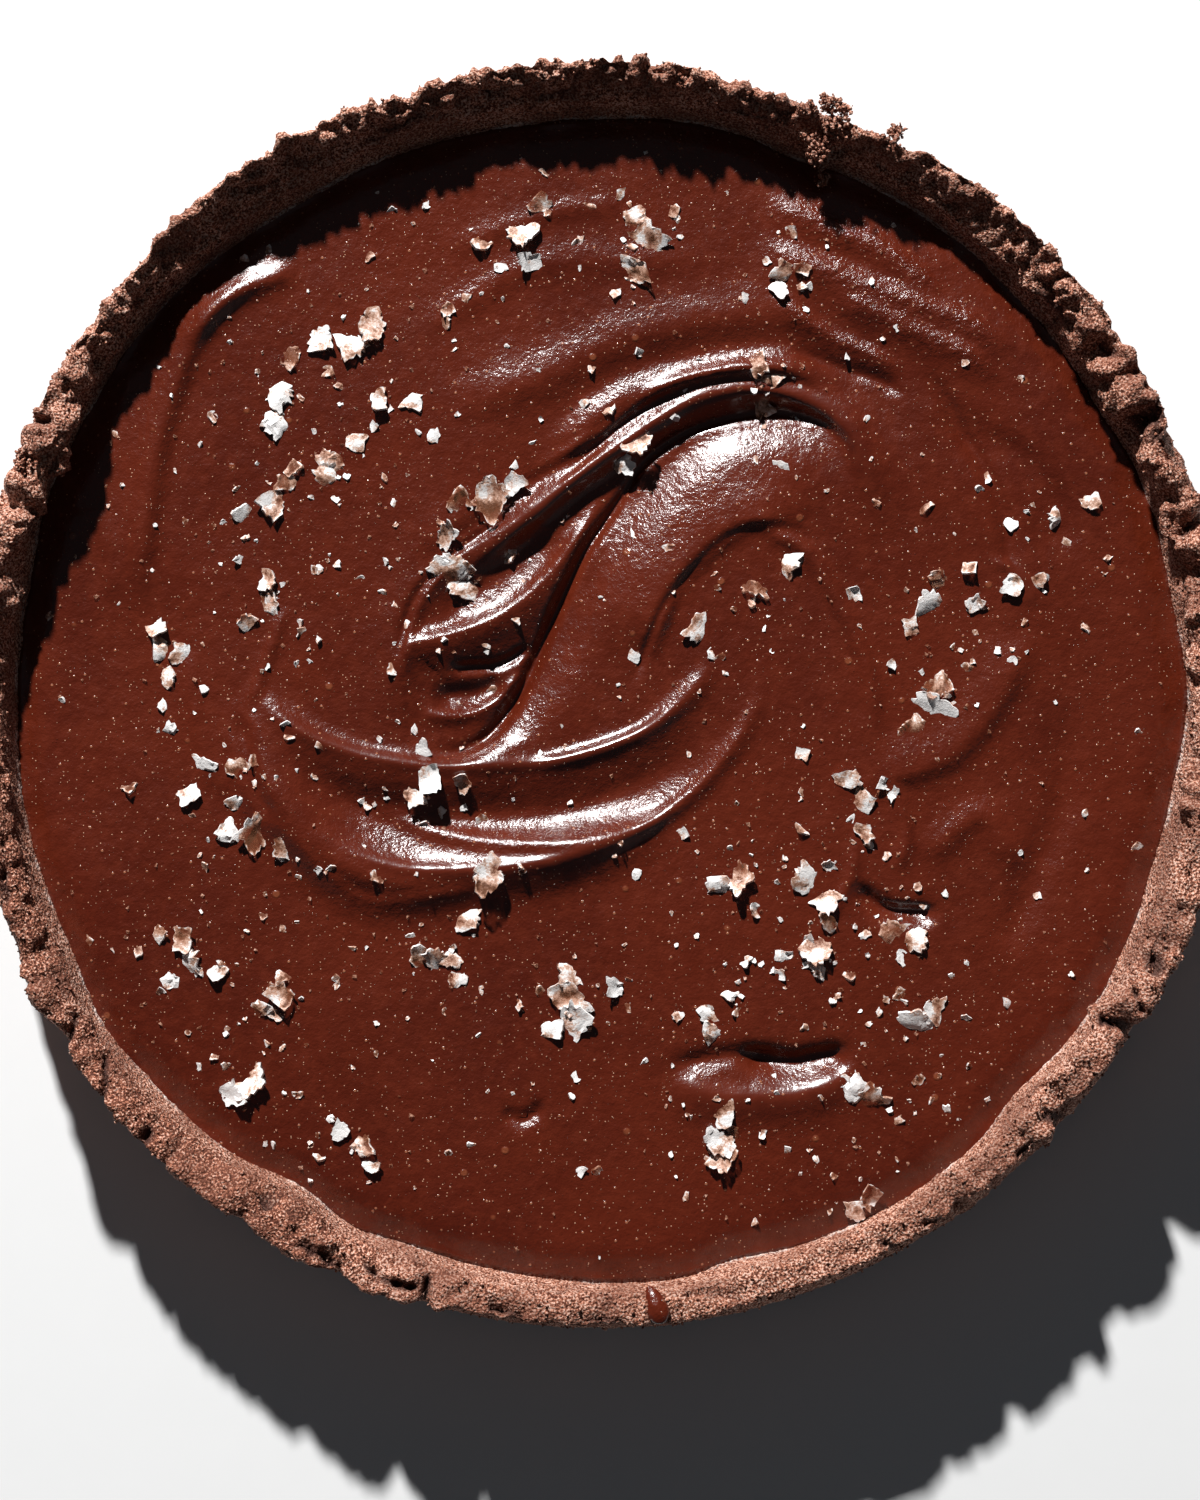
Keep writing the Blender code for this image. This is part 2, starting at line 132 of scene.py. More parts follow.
class Finish:
    def __init__(self, name):
        self.material = bpy.data.materials.new(name)
        self.material.use_nodes = True
        self.tree = self.material.node_tree
        self.tree.nodes.clear()
        self.place = self.node("TexCoord", output="Object")

    def node(self, kind, settings=None, sockets=None, output=0):
        made = self.tree.nodes.new("ShaderNode" + kind)
        for key, value in (settings or {}).items():
            if key == "stops":
                self.setStops(made.color_ramp, value)
            else:
                setattr(made, key, value)
        for key, value in (sockets or {}).items():
            if isinstance(value, Signal):
                self.tree.links.new(value.socket, made.inputs[key])
            else:
                made.inputs[key].default_value = value
        return Signal(self, made.outputs[output]) if made.outputs else made

    def setStops(self, ramp, stops):
        while len(ramp.elements) < len(stops):
            ramp.elements.new(0.5)
        for element, (position, colour) in zip(ramp.elements, stops):
            element.position = position
            element.color = (*colour, 1)

    def ramp(self, factor, *stops):
        return self.node("ValToRGB", {"stops": stops}, {0: factor})

    def noise(self, size, detail=2.0, roughness=0.5, shift=0.0):  # 0 to 1, with lumps of this size
        moved = self.node("VectorMath", {"operation": "ADD"}, {0: self.place, 1: (shift, shift, 0)})
        return self.node("TexNoise", None, {
            "Vector": moved, "Scale": 1 / size, "Detail": detail, "Roughness": roughness})

    def specks(self, size, radius, share):  # round dots in a random share of cells of this size
        sockets = {"Vector": self.place, "Scale": 1 / size}
        away = self.node("TexVoronoi", None, sockets, "Distance")
        chance = self.node("SeparateColor", None, {0: self.node("TexVoronoi", None, sockets, "Color")})
        return (1 - away.between(0.5 * radius / size, radius / size)) * (chance > 1 - share)

    def grains(self, size):  # packed round grains, as height
        sockets = {"Vector": self.place, "Scale": 1 / size}
        return 1 - self.node("TexVoronoi", None, sockets, "Distance")

    def attribute(self, name):
        return self.node("Attribute", {"attribute_name": name}, None, "Fac")

    def blend(self, factor, first, second):  # mixes two colours
        first, second = [(*c, 1) if isinstance(c, tuple) else c for c in (first, second)]
        return self.node("Mix", {"data_type": "RGBA"}, {0: factor, 6: first, 7: second}, 2)

    def bump(self, height, depth):
        return self.node("Bump", None, {"Height": height, "Distance": depth})

    def done(self, **sockets):
        named = {key.replace("_", " "): value for key, value in sockets.items()}
        shader = self.node("BsdfPrincipled", None, named)
        self.node("OutputMaterial", None, {"Surface": shader})
        return self.material


# the crust: the CAD's turned profile at crumb scale, with the same rim, cracks and thick stretches

crustSettings = {
    "tinRadius": 115 * mm,
    "baseThickness": 5 * mm,
    "floorRadius": 103.5 * mm,
    "rimHeight": 28 * mm,
    "rimUnevenness": 1.3 * mm,
    "rimSetback": 1.1 * mm,
    "cragDepth": 0.75 * mm,
    "cragSize": 6 * mm,
    "fineCragSize": 2.3 * mm,
    "swellSize": 9 * mm,
    "lumpSize": 3.4 * mm,
    "smallLumpSize": 1.5 * mm,
    "grainSize": 0.85 * mm,
    "fillLevel": 17.5 * mm,
    "fillRadius": 107.8 * mm,
    "edgeWaver": 0.6 * mm,
    "edgeDip": 1.9 * mm,
    "edgeDipWidth": 4.2 * mm,
    "steps": 1320,
    "rimSpacing": 0.54 * mm,
    "wallSpacing": 1.35 * mm,
    "crumbSpots": (5, 18.5 * mm, 0.115),  # seed, lowest height and share of the corners that get a crumb
    "crestCorner": 7,  # the number of the profile's highest corner, in crustCorners
    "wallRow": 8.5,  # rows past this one are on the inner wall
    # stretches in degrees: where the rim stands out, and where it is thin, calm or darkened by painted
    # shade, with how much
    "proudStretches": ((78.5, 104), (111, 135), (26, 60), (-155, -104), (-32, -12)),
    "thinStretches": (
        (42, 72, 0.95), (66, 122, 0.72), (116, 150, 1.0), (166, 207, 0.85), (-155, -128, 0.45),
        (-12, 8, 0.5), (7, 14, 0.95), (13, 44, 0.6), (24, 28.5, 0.95)),
    "calmStretches": ((-178, -12, 0.45),),
    # painted shade: stretches of the rim whose colour is darkened for the shade that falls on them
    "shadedStretches": ((-182, -150, 0.9), (-150, -114, 0.8), (-112, -88, 0.1), (5, 46, 0.3)),
    "bulges": (  # degrees, width and depth in mm, where the inside of the wall comes further in
        (-121, 9, 2.4), (-108, 10, 1.2), (-76, 7, 1.2), (-43, 9, 1.2), (30, 9, 1.2), (168, 9, 0.9),
        (70, 7, 0.9), (-147, 8, -1.1), (0, 8, -0.8)),
    "breaks": (  # degrees round the rim, width and depth in mm
        (68, 5, 2.2), (60, 4, 1.2), (34, 6, 2.0), (23, 5, 2.4), (16, 4, 1.8), (-32.5, 4, 3.4),
        (-42, 5, 2.6), (-55, 4, 2.0), (-106, 4, 2.2), (-114, 5, 1.8), (-124, 4, 1.6),
        (-147, 5, 2.4), (162, 6, 2.0), (144, 4, 1.6), (122, 4, 1.2), (-8, 5, 1.6), (-172, 6, 2.2)),
    "gouges": (  # degrees and radius of both ends, width and depth in mm
        (33.3, 112.6, 34.6, 111.6, 1.5, 2.6), (24.2, 113.0, 24.9, 111.4, 0.9, 1.7),
        (-26.6, 112.2, -26.1, 111.2, 1.1, 2.3), (-30.6, 113.8, -29.3, 110.8, 0.5, 1.7),
        (-32.2, 115.0, -33.2, 108.6, 0.65, 3.2), (-43.0, 114.4, -43.5, 111.2, 1.3, 2.4),
        (-46.4, 113.4, -48.0, 112.8, 0.5, 1.3), (-57.0, 113.6, -58.6, 112.6, 0.5, 1.2),
        (-62.0, 114.2, -62.9, 111.4, 0.45, 1.2), (-88.0, 113.8, -90.5, 113.2, 0.6, 1.2),
        (-97.0, 113.4, -99.5, 112.8, 0.7, 1.4), (-105.8, 114.8, -106.1, 109.6, 0.45, 1.8),
        (-107.2, 112.3, -110.2, 112.7, 0.6, 1.9), (-110.4, 113.4, -112.0, 111.0, 0.6, 1.5),
        (-114.0, 113.8, -118.0, 113.0, 0.8, 1.5), (-122.4, 109.8, -123.3, 109.2, 0.8, 1.4),
        (-135.0, 114.2, -135.4, 113.2, 0.9, 1.6), (-140.6, 114.4, -143.0, 110.4, 0.55, 1.7),
        (-146.4, 114.2, -147.8, 111.4, 0.65, 1.7), (-160.0, 113.0, -162.5, 112.2, 0.7, 1.4),
        (16.0, 113.0, 15.0, 110.0, 0.9, 1.6), (26.6, 112.4, 26.2, 108.6, 1.7, 3.2),
        (154.6, 114.0, 153.8, 110.6, 0.8, 2.0)),
    # clods pressed together: from and to in degrees, from and to along the profile inwards from the
    # crest, how many, the largest one's radius and how far it stands out, in mm
    "clodSeed": 8,
    "clods": (
        (13, 24, 1, 6.5, 9, 5.4, 2.6), (28, 41, 1, 6.5, 11, 5.4, 2.6), (141, 173, 1, 9, 26, 5.2, 2.6),
        (44, 72, 1, 6, 14, 2.4, 1.3), (66, 122, -1, 4, 110, 1.7, 2.0), (-12, 12, 2, 8, 12, 3.4, 1.3),
        (173, 200, 0, 7, 14, 2.8, 1.0), (-160, -140, -2, 5, 14, 3.0, 1.2), (-46, -14, -2, 7, 28, 3.8, 1.2),
        (-125, -98, -2, 6, 14, 3.2, 0.8), (-98, -46, -2, 5, 14, 3.6, 0.5),
        (-140, -125, -2, 5, 6, 3.2, 0.7)),
    # degrees, height, size and depth in mm of lumps on the inner wall; a negative depth is a hollow
    "clumps": (
        (11, 22, 3.2, -1.2), (17, 21.5, 4.0, -1.1), (26, 22.5, 3.5, -1.6), (33, 21.5, 4.5, -1.2),
        (40, 21.5, 4.5, -1.2), (46, 21.5, 3.5, -1.0),
        (67, 23, 2.8, 2.2), (116, 25.5, 2.2, 1.3), (142, 24.5, 3.2, 1.5), (148, 25, 2.2, 1.7),
        (157, 24.5, 4.0, 1.5), (47, 25, 3.5, 1.2),
        (98, 25.5, 1.8, 1.2), (85, 26, 2.0, 1.0), (128, 26, 2.0, 0.9), (171, 24, 3.0, 1.2)),
    # colour layers: painted shade in hollows, painted shade on stretches of the rim, and a pale line that
    # is in part a painted highlight
    "layers": ("hollow", "brownness", "paleLine"),
    "colours": {
        "pit": (0.092, 0.021, 0.008), "crumb": (0.310, 0.102, 0.053), "lit": (0.556, 0.222, 0.130),
        "sand": (0.700, 0.458, 0.362), "patch": (0.170, 0.054, 0.029), "hollow": (0.042, 0.011, 0.006),
        "speck": (0.62, 0.37, 0.25), "paleLine": (0.80, 0.70, 0.64)},
}


def ringNoise(angle, cycles, seed):
    place = Vector((math.cos(angle) * cycles / 3, math.sin(angle) * cycles / 3, seed))
    return 1.6 * noise.noise(place)


def roughnessAt(place, seed):
    return Vector([noise.noise(place + Vector((seed + 17 * axis, 5, 2))) for axis in range(3)])


def clodPlaces():
    draws = random.Random(crustSettings["clodSeed"])
    return [
        (draws.uniform(start, end), draws.uniform(near, far), largest * draws.uniform(0.4, 1),
         depth * draws.uniform(0.5, 1))
        for start, end, near, far, count, largest, depth in crustSettings["clods"] for _ in range(count)]


allClods = clodPlaces()


def degreesPast(angle, degrees):
    return (np.degrees(angle) - degrees + 180) % 360 - 180


def edgeWaver(angle):
    s = crustSettings
    waver = s["edgeWaver"] * (0.5 * np.sin(5 * angle + 1) + 0.5 * np.sin(13 * angle + 2))
    for degrees, width, depth in s["bulges"]:
        away = np.radians(degreesPast(angle, degrees)) * s["fillRadius"] / (width * mm)
        waver = waver - depth * mm * np.exp(-away * away)
    return waver


def wallRadius(angle, height):
    s = crustSettings
    share = (height - s["baseThickness"]) / (s["fillLevel"] - s["baseThickness"])
    return s["floorRadius"] + (s["fillRadius"] - s["floorRadius"]) * share + edgeWaver(angle)


def insideStretch(angle, start, end, blend):
    inside = (end - start) / 2 - abs(degreesPast(angle, (start + end) / 2))
    return smoothStep(0.5 + inside / blend)


def breakDepth(angle):
    depth = 0
    for degrees, width, deepest in crustSettings["breaks"]:
        away = math.radians(degreesPast(angle, degrees)) * crustSettings["tinRadius"] / (width * mm)
        depth = max(depth, deepest * mm * math.exp(-4 * away * away))
    return depth


def crustCorners(thin):
    s = crustSettings
    tin, rim, inner = s["tinRadius"], s["rimHeight"], s["fillRadius"] + 0.9 * mm
    return (
        (0, 0),
        (tin - 2.2 * mm, 0),
        (tin - 0.6 * mm, 0.9 * mm),
        (tin, 2.8 * mm),
        (tin, 18 * mm),
        (tin - 0.1 * mm, rim - 2.4 * mm),
        (tin - 0.05 * mm, rim - 0.5 * mm),
        (tin - 0.4 * mm, rim),
        (tin - (4.2 - 2.3 * thin) * mm, rim - (0.3 + 1.5 * thin) * mm),
        (inner + (0.7 + 0.9 * thin) * mm, rim - (1.0 + 3.6 * thin) * mm),
        (inner + 0.3 * thin * mm, rim - (3.0 + 3.0 * thin) * mm),
        (s["fillRadius"] + 0.5 * mm, s["fillLevel"] + 2 * mm),
        (s["fillRadius"] - 0.7 * mm, s["fillLevel"] - 2 * mm),
        (s["floorRadius"], s["baseThickness"]),
        (0, s["baseThickness"]),
    )


def crustRows():  # places along the profile: a corner's number, plus the share of the way to the next
    s = crustSettings
    rows = [0.0]
    corners = crustCorners(0.5)
    for index, (start, end) in enumerate(zip(corners, corners[1:])):
        length = math.dist(start, end)
        onRim = start[1] > 17 * mm and end[1] > 15 * mm
        count = max(1, round(length / (s["rimSpacing"] if onRim else s["wallSpacing"])))
        if length > 20 * mm:
            count = 1
        rows += [index + (step + 1) / count for step in range(count)]
    return rows


def pastCrest(row):  # how far a row lies inwards from the crest along the profile, in mm
    corners = crustCorners(0.5)
    crest = crustSettings["crestCorner"]
    low, high = min(row, crest), max(row, crest)
    length = 0
    for index in range(int(low), min(int(high) + 1, len(corners) - 1)):
        share = min(high, index + 1) - max(low, index)
        length += share * math.dist(corners[index], corners[index + 1]) / mm
    return length if row > crest else -length


def alongCorners(corners, row):
    index = min(int(row), len(corners) - 2)
    start, end = corners[index], corners[index + 1]
    share = row - index
    return start[0] + (end[0] - start[0]) * share, start[1] + (end[1] - start[1]) * share


@functools.lru_cache(maxsize=None)
def rimAt(step):  # what depends on the angle alone
    s = crustSettings
    angle = step * 2 * math.pi / s["steps"]
    if angle > math.pi:
        angle -= 2 * math.pi
    proud = max(insideStretch(angle, start, end, 3) for start, end in s["proudStretches"])
    thin, calm, shaded = (
        max(share * insideStretch(angle, start, end, blend) for start, end, share in s[name])
        for name, blend in (("thinStretches", 6), ("calmStretches", 20), ("shadedStretches", 14)))
    setback = max(0, (1 - proud) * (1 + 0.6 * ringNoise(angle, 17, 2)))
    return {
        "angle": angle,
        "outward": Vector((math.cos(angle), math.sin(angle), 0)),
        "wave": ringNoise(angle, 26, 5),
        "broken": breakDepth(angle),
        "setback": setback * s["rimSetback"],
        "waver": float(edgeWaver(angle)),
        "proud": proud,
        "rough": 1 - calm,
        "shaded": shaded,
        "clods": [c for c in allClods if abs(degreesPast(angle, c[0])) < 0.8 * c[2]],
        "corners": crustCorners(thin),
        "torn": max(thin, smoothStep(0.45 + 1.1 * ringNoise(angle, 10, 12))),
        "clumps": [c for c in s["clumps"] if abs(degreesPast(angle, c[0])) < 0.9 * c[2]],
        "gouges": [g for g in s["gouges"] if abs(degreesPast(angle, (g[0] + g[2]) / 2)) < 5],
    }


def distanceTo(place, start, end):  # from a point to a short line, seen from above
    run = end - start
    share = max(0, min(1, (place - start).dot(run) / run.length_squared))
    return (place - start - run * share).length


def polar(degrees, radius):
    return Vector((math.cos(math.radians(degrees)), math.sin(math.radians(degrees)))) * radius * mm


def brokenPoint(here, radius, height, inside):  # the plain profile's point, and the same torn and set back
    s = crustSettings
    outward = here["outward"]
    plain = outward * radius + Vector((0, 0, height))
    radius += here["waver"] if inside and height > 1 * mm else 0
    top = smoothStep((height - 20 * mm) / (6 * mm))
    if top > 0:
        height += top * (s["rimUnevenness"] * here["wave"] * here["rough"] - 0.8 * here["broken"])
        coarse, fine = roughnessAt(plain / s["cragSize"], 3), roughnessAt(plain / s["fineCragSize"], 9)
        rough = (1.6 * coarse + 1.3 * fine) * (s["cragDepth"] * top * here["rough"])
        height += rough.z * 1.3
        if inside:
            radius += top * rough.dot(outward)
        else:
            radius -= top * (here["setback"] + 0.7 * here["broken"] + abs(rough.dot(outward)) * 0.8)
            radius += top * (0.3 + 0.5 * here["proud"]) * mm
    return plain, outward * radius + Vector((0, 0, height))


def clodRise(here, moved, past):  # crumb pressed together in clods, with creases between them, in mm
    clod = 0
    for degrees, middle, size, depth in here["clods"]:
        around = math.radians(degreesPast(here["angle"], degrees)) * crustSettings["fillRadius"] / mm
        away = math.hypot(around, past - middle) / size + 0.30 * noiseAt(moved, 2.0 * mm, 91)
        if away < 1:
            clod = max(clod, depth * math.sqrt(1 - max(0, away) ** 2))
    if here["clods"] and -3 < past < 10:
        return clod - 0.3 - 0.12 * max(depth for _, _, _, depth in here["clods"])
    return 0


def clumpRise(here, moved, lump):  # lumps and hollows of the inner wall, in mm
    rise = 0
    for degrees, level, size, depth in here["clumps"]:
        around = math.radians(degreesPast(here["angle"], degrees)) * crustSettings["fillRadius"]
        away = math.hypot(around, moved.z - level * mm) / (size * mm)
        rise += depth * smoothStep(1.35 - away + 0.5 * noiseAt(moved, 2.2 * mm, 71)) * (1 + lump)
    return rise


def gougeDepth(here, moved, rim):  # cracks and pits of the rim, in mm
    dug = 0
    for fromDegrees, fromRadius, toDegrees, toRadius, width, depth in here["gouges"]:
        away = distanceTo(moved.xy, polar(fromDegrees, fromRadius), polar(toDegrees, toRadius))
        ragged = away / mm + 0.5 * noiseAt(moved, 1.6 * mm, 61)
        dug = max(dug, rim * depth * math.exp(-(max(0, ragged) / width) ** 2))
    return dug


def crumble(corner, step, row, past, layers):  # puts a point of the plain crust on the broken one
    s = crustSettings
    here = rimAt(step)
    normal = corner.normal.copy()
    radius, height = alongCorners(here["corners"], row)
    if radius < 1 * mm:
        return
    inside = radius < s["tinRadius"] - 6 * mm
    plain, moved = brokenPoint(here, radius, height, inside)
    rim = smoothStep((plain.z - (20 if inside else 17) * mm) / (4 * mm))
    swell = noiseAt(moved, s["swellSize"], 51)
    lump = abs(noiseAt(moved, s["lumpSize"], 21)) * 2 - 0.35
    small = abs(noiseAt(moved, s["smallLumpSize"], 33)) * 2 - 0.35
    grain = noiseAt(moved, s["grainSize"], 4)
    lumps = (0.25 + 0.55 * here["torn"]) * (0.75 * lump + 0.42 * small)
    rise = rim * here["rough"] * (lumps + 0.6 * swell)
    rise += rim * clodRise(here, moved, past)
    rise += grain * (0.14 + 0.16 * rim) + 0.16 * small * (1 - rim)
    if inside and row > s["wallRow"]:
        rise += clumpRise(here, moved, lump)
    if plain.z < 1.5 * mm:
        rise *= 0.3
    dug = gougeDepth(here, moved, rim)
    corner.co = moved + normal * (rise - dug) * mm
    # painted shade: a higher value in gouges and low places darkens the crust's colour there
    corner[layers["hollow"]] = max(0.0, min(1.0, 0.5 * dug + 0.42 - 0.42 * rise * rim))
    # painted shade: how much darker this stretch of the rim is coloured
    corner[layers["brownness"]] = here["shaded"] * rim
    # a pale line where the wall meets the filling: pale crumbs, and in part a painted highlight of the lit
    # edge
    contact = (moved.z - s["fillLevel"] + s["edgeDip"] - 0.6 * mm) / (0.55 * mm)
    kept = smoothStep(0.15 + 2.6 * noiseAt(moved, 5 * mm, 81))
    corner[layers["paleLine"]] = math.exp(-contact * contact) * kept if inside else 0


def crustFinish():
    f = Finish("crumbCrust")
    colours = crustSettings["colours"]
    grain = f.noise(0.55 * mm, 4, 0.7)
    clumps = f.noise(3.6 * mm, 4, 0.62, 0.3)
    patches = f.noise(10 * mm, 3, 0.55, 0.7)
    sand = f.noise(0.42 * mm, 2, 0.6, 0.5)
    # the stretch layer lowers the tone: painted shade on parts of the rim
    tone = sand * 1.7 + grain * 0.5 + clumps * 0.2 - 0.7 - f.attribute("brownness") * 0.11
    colour = f.ramp(
        tone, (0.36, colours["pit"]), (0.46, colours["crumb"]), (0.55, colours["lit"]),
        (0.66, colours["sand"]))
    colour = f.blend(patches.between(0.40, 0.62) * 0.55, colour, colours["patch"])
    # painted shade: a darker, redder colour in the crust's cracks, pits and low places
    colour = f.blend(f.attribute("hollow").between(0.45, 1.0) * 0.9, colour, colours["hollow"])
    colour = f.blend(f.specks(2.4 * mm, 0.36 * mm, 0.3) * 0.6, colour, colours["speck"])
    # the pale line at the wall's foot, in part a painted highlight
    colour = f.blend(f.attribute("paleLine") * grain.between(0.42, 0.6), colour, colours["paleLine"])
    relief = f.grains(0.6 * mm) * 0.8 + grain * 0.6 + sand * 0.6
    return f.done(
        Base_Color=colour, Roughness=0.9 - 0.3 * grain, Normal=f.bump(relief, 0.5 * mm),
        Specular_IOR_Level=0.35)


def makeCrust(finish):
    s = crustSettings
    bm = bmesh.new()
    layers = addLayers(bm, ("row", *s["layers"]))
    corners = []
    lengths = {}
    for row in crustRows():
        radius, height = alongCorners(crustCorners(0), row)
        lengths[round(row, 3)] = pastCrest(row)
        corners.append(bm.verts.new((radius, 0, height)))
        corners[-1][layers["row"]] = row
    edges = [bm.edges.new(pair) for pair in zip(corners, corners[1:])]
    bmesh.ops.spin(
        bm, geom=corners + edges, cent=(0, 0, 0), axis=(0, 0, 1), angle=2 * math.pi,
        steps=s["steps"], use_merge=True)
    bmesh.ops.remove_doubles(bm, verts=bm.verts, dist=0.005 * mm)
    bmesh.ops.recalc_face_normals(bm, faces=bm.faces)
    bm.normal_update()
    for corner in bm.verts:
        step = round(math.atan2(corner.co.y, corner.co.x) / (2 * math.pi) * s["steps"]) % s["steps"]
        row = corner[layers["row"]]
        crumble(corner, step, row, lengths[round(row, 3)], layers)
    bm.verts.layers.float.remove(bm.verts.layers.float["row"])
    bm.normal_update()
    seed, lowest, share = s["crumbSpots"]
    draws = random.Random(seed)
    spots = [
        (corner.co.copy(), corner.normal.copy()) for corner in bm.verts
        if corner.co.z > lowest and draws.random() < share]
    surface = kdtree.KDTree(len(bm.verts))
    for index, corner in enumerate(bm.verts):
        if corner.co.z > 22 * mm:
            surface.insert(corner.co, index)
    surface.balance()
    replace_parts(newPiece("bakedCrust", bm, finish), "crust")
    return spots, surface


crumbFinish = crustFinish()
crumbSpots, rimSurface = makeCrust(crumbFinish)
print("tart: crust baked,", len(crumbSpots), "places for crumbs")


# loose crumbs that stick to the rim and the top of the wall

crumbSettings = {
    "smallest": 0.13 * mm,
    "largest": 0.50 * mm,
    "seed": 11,
    "shapes": 9,
    "heapSizes": (0.35, 0.75),  # smallest and largest, in mm
    "clusterSizes": (0.22, 0.55),  # smallest, and how much larger they get, in mm
    "heaps": (  # degrees, radius and reach in mm, and how many crumbs lie on the rim there
        (68.4, 114.6, 2.8, 120), (67.0, 111.0, 2.2, 70), (62.4, 114.2, 1.8, 50), (150, 113.0, 1.8, 40),
        (158, 112.4, 2.2, 50), (93.5, 112.0, 1.2, 24), (82, 112.6, 1.4, 24)),
    "clusters": (  # the same with a height after the radius, for crumbs that hang together
        (68.5, 115.6, 27.0, 1.9, 120), (67.2, 115.5, 26.9, 1.6, 90), (61.9, 116.0, 26.9, 1.4, 80),
        (68.0, 107.6, 25.2, 2.5, 260), (66.4, 104.0, 18.6, 1.5, 50)),
}


def crumbShape(draws):
    bm = bmesh.new()
    bmesh.ops.create_icosphere(bm, subdivisions=1, radius=1)
    stretch = Vector([draws.uniform(0.6, 1.15) for _ in range(3)])
    for corner in bm.verts:
        corner.co = corner.co * stretch * draws.uniform(0.55, 1.2)
    return meshFrom("crumbShape", bm)


def makeCrumbs(spots, finish):
    s = crumbSettings
    draws = random.Random(s["seed"])
    shapes = [crumbShape(draws) for _ in range(s["shapes"])]
    bm = bmesh.new()

    def drop(place, size):
        turn = Euler([draws.uniform(0, 2 * math.pi) for _ in range(3)]).to_matrix().to_4x4()
        addCopy(bm, draws.choice(shapes), Matrix.Translation(place) @ turn @ Matrix.Scale(size, 4))

    for place, normal in spots:
        size = s["smallest"] + (s["largest"] - s["smallest"]) * draws.random() ** 2.5
        drop(place + normal * size * 0.3, size)
    for degrees, radius, reach, count in s["heaps"]:
        for _ in range(count):
            offset = Vector([draws.gauss(0, 0.42) for _ in range(3)]) * reach * mm
            base = rimSurface.find(polar(degrees, radius).to_3d() + Vector((0, 0, 27 * mm)) + offset)[0]
            place = base + Vector((0, 0, abs(offset.z) * 0.9))
            drop(place, draws.uniform(*s["heapSizes"]) * mm)
    smallest, growth = s["clusterSizes"]
    for degrees, radius, height, reach, count in s["clusters"]:
        middle = polar(degrees, radius).to_3d() + Vector((0, 0, height * mm))
        for _ in range(count):
            offset = Vector([draws.gauss(0, 0.42) for _ in range(3)]) * reach * mm
            drop(middle + offset, (smallest + growth * draws.random() ** 2) * mm)
    for shape in shapes:
        bpy.data.meshes.remove(shape)
    newPiece("crustCrumbs", bm, finish)


makeCrumbs(crumbSpots, crumbFinish)
print("tart: crumbs scattered")


# the filling: a fine sheet with the strokes that the spoon left in it

fillSettings = {
    "cells": 310,
    "centreCrowding": 0.52,
    "swirlCentre": (-4 * mm, 6.5 * mm),
    "swirlScale": 0.99,
    "swirlShift": (0, -1.6),
    "underside": 5.35 * mm,
    "tuckIn": 0.5 * mm,  # how far the edge runs into the wall, so that no gap shows
    "sheetRadius": 108 * mm,
    "climb": 0.7 * mm,  # how high the filling clings to the wall
    "climbWidth": 1.5 * mm,
    "unevenness": 0.07 * mm,
    "unevenSize": 3.5 * mm,
    "waves": (3, 12, 45, 160, 0.0014),  # seed, how many, shortest and longest in mm, rise for their length
    "shineWidths": {  # half width in mm of the smooth and shiny line along some strokes
        "dab": 2.6, "archLip": 1.6, "foldEdge": 1.5, "nearCrestEdge": 1.2, "rightEye": 1.5},
    "rippleWidths": {"farRightWave": 2.4, "rightWave": 2.6, "nearRightWave": 2.2, "shortWave": 1.6},
    "colours": {
        "dark": (0.070, 0.0085, 0.0028), "light": (0.094, 0.0122, 0.0040), "cloud": (0.130, 0.020, 0.0075),
        "husk": (0.24, 0.068, 0.028), "sesame": (0.38, 0.145, 0.075), "dust": (0.66, 0.36, 0.23)},
}

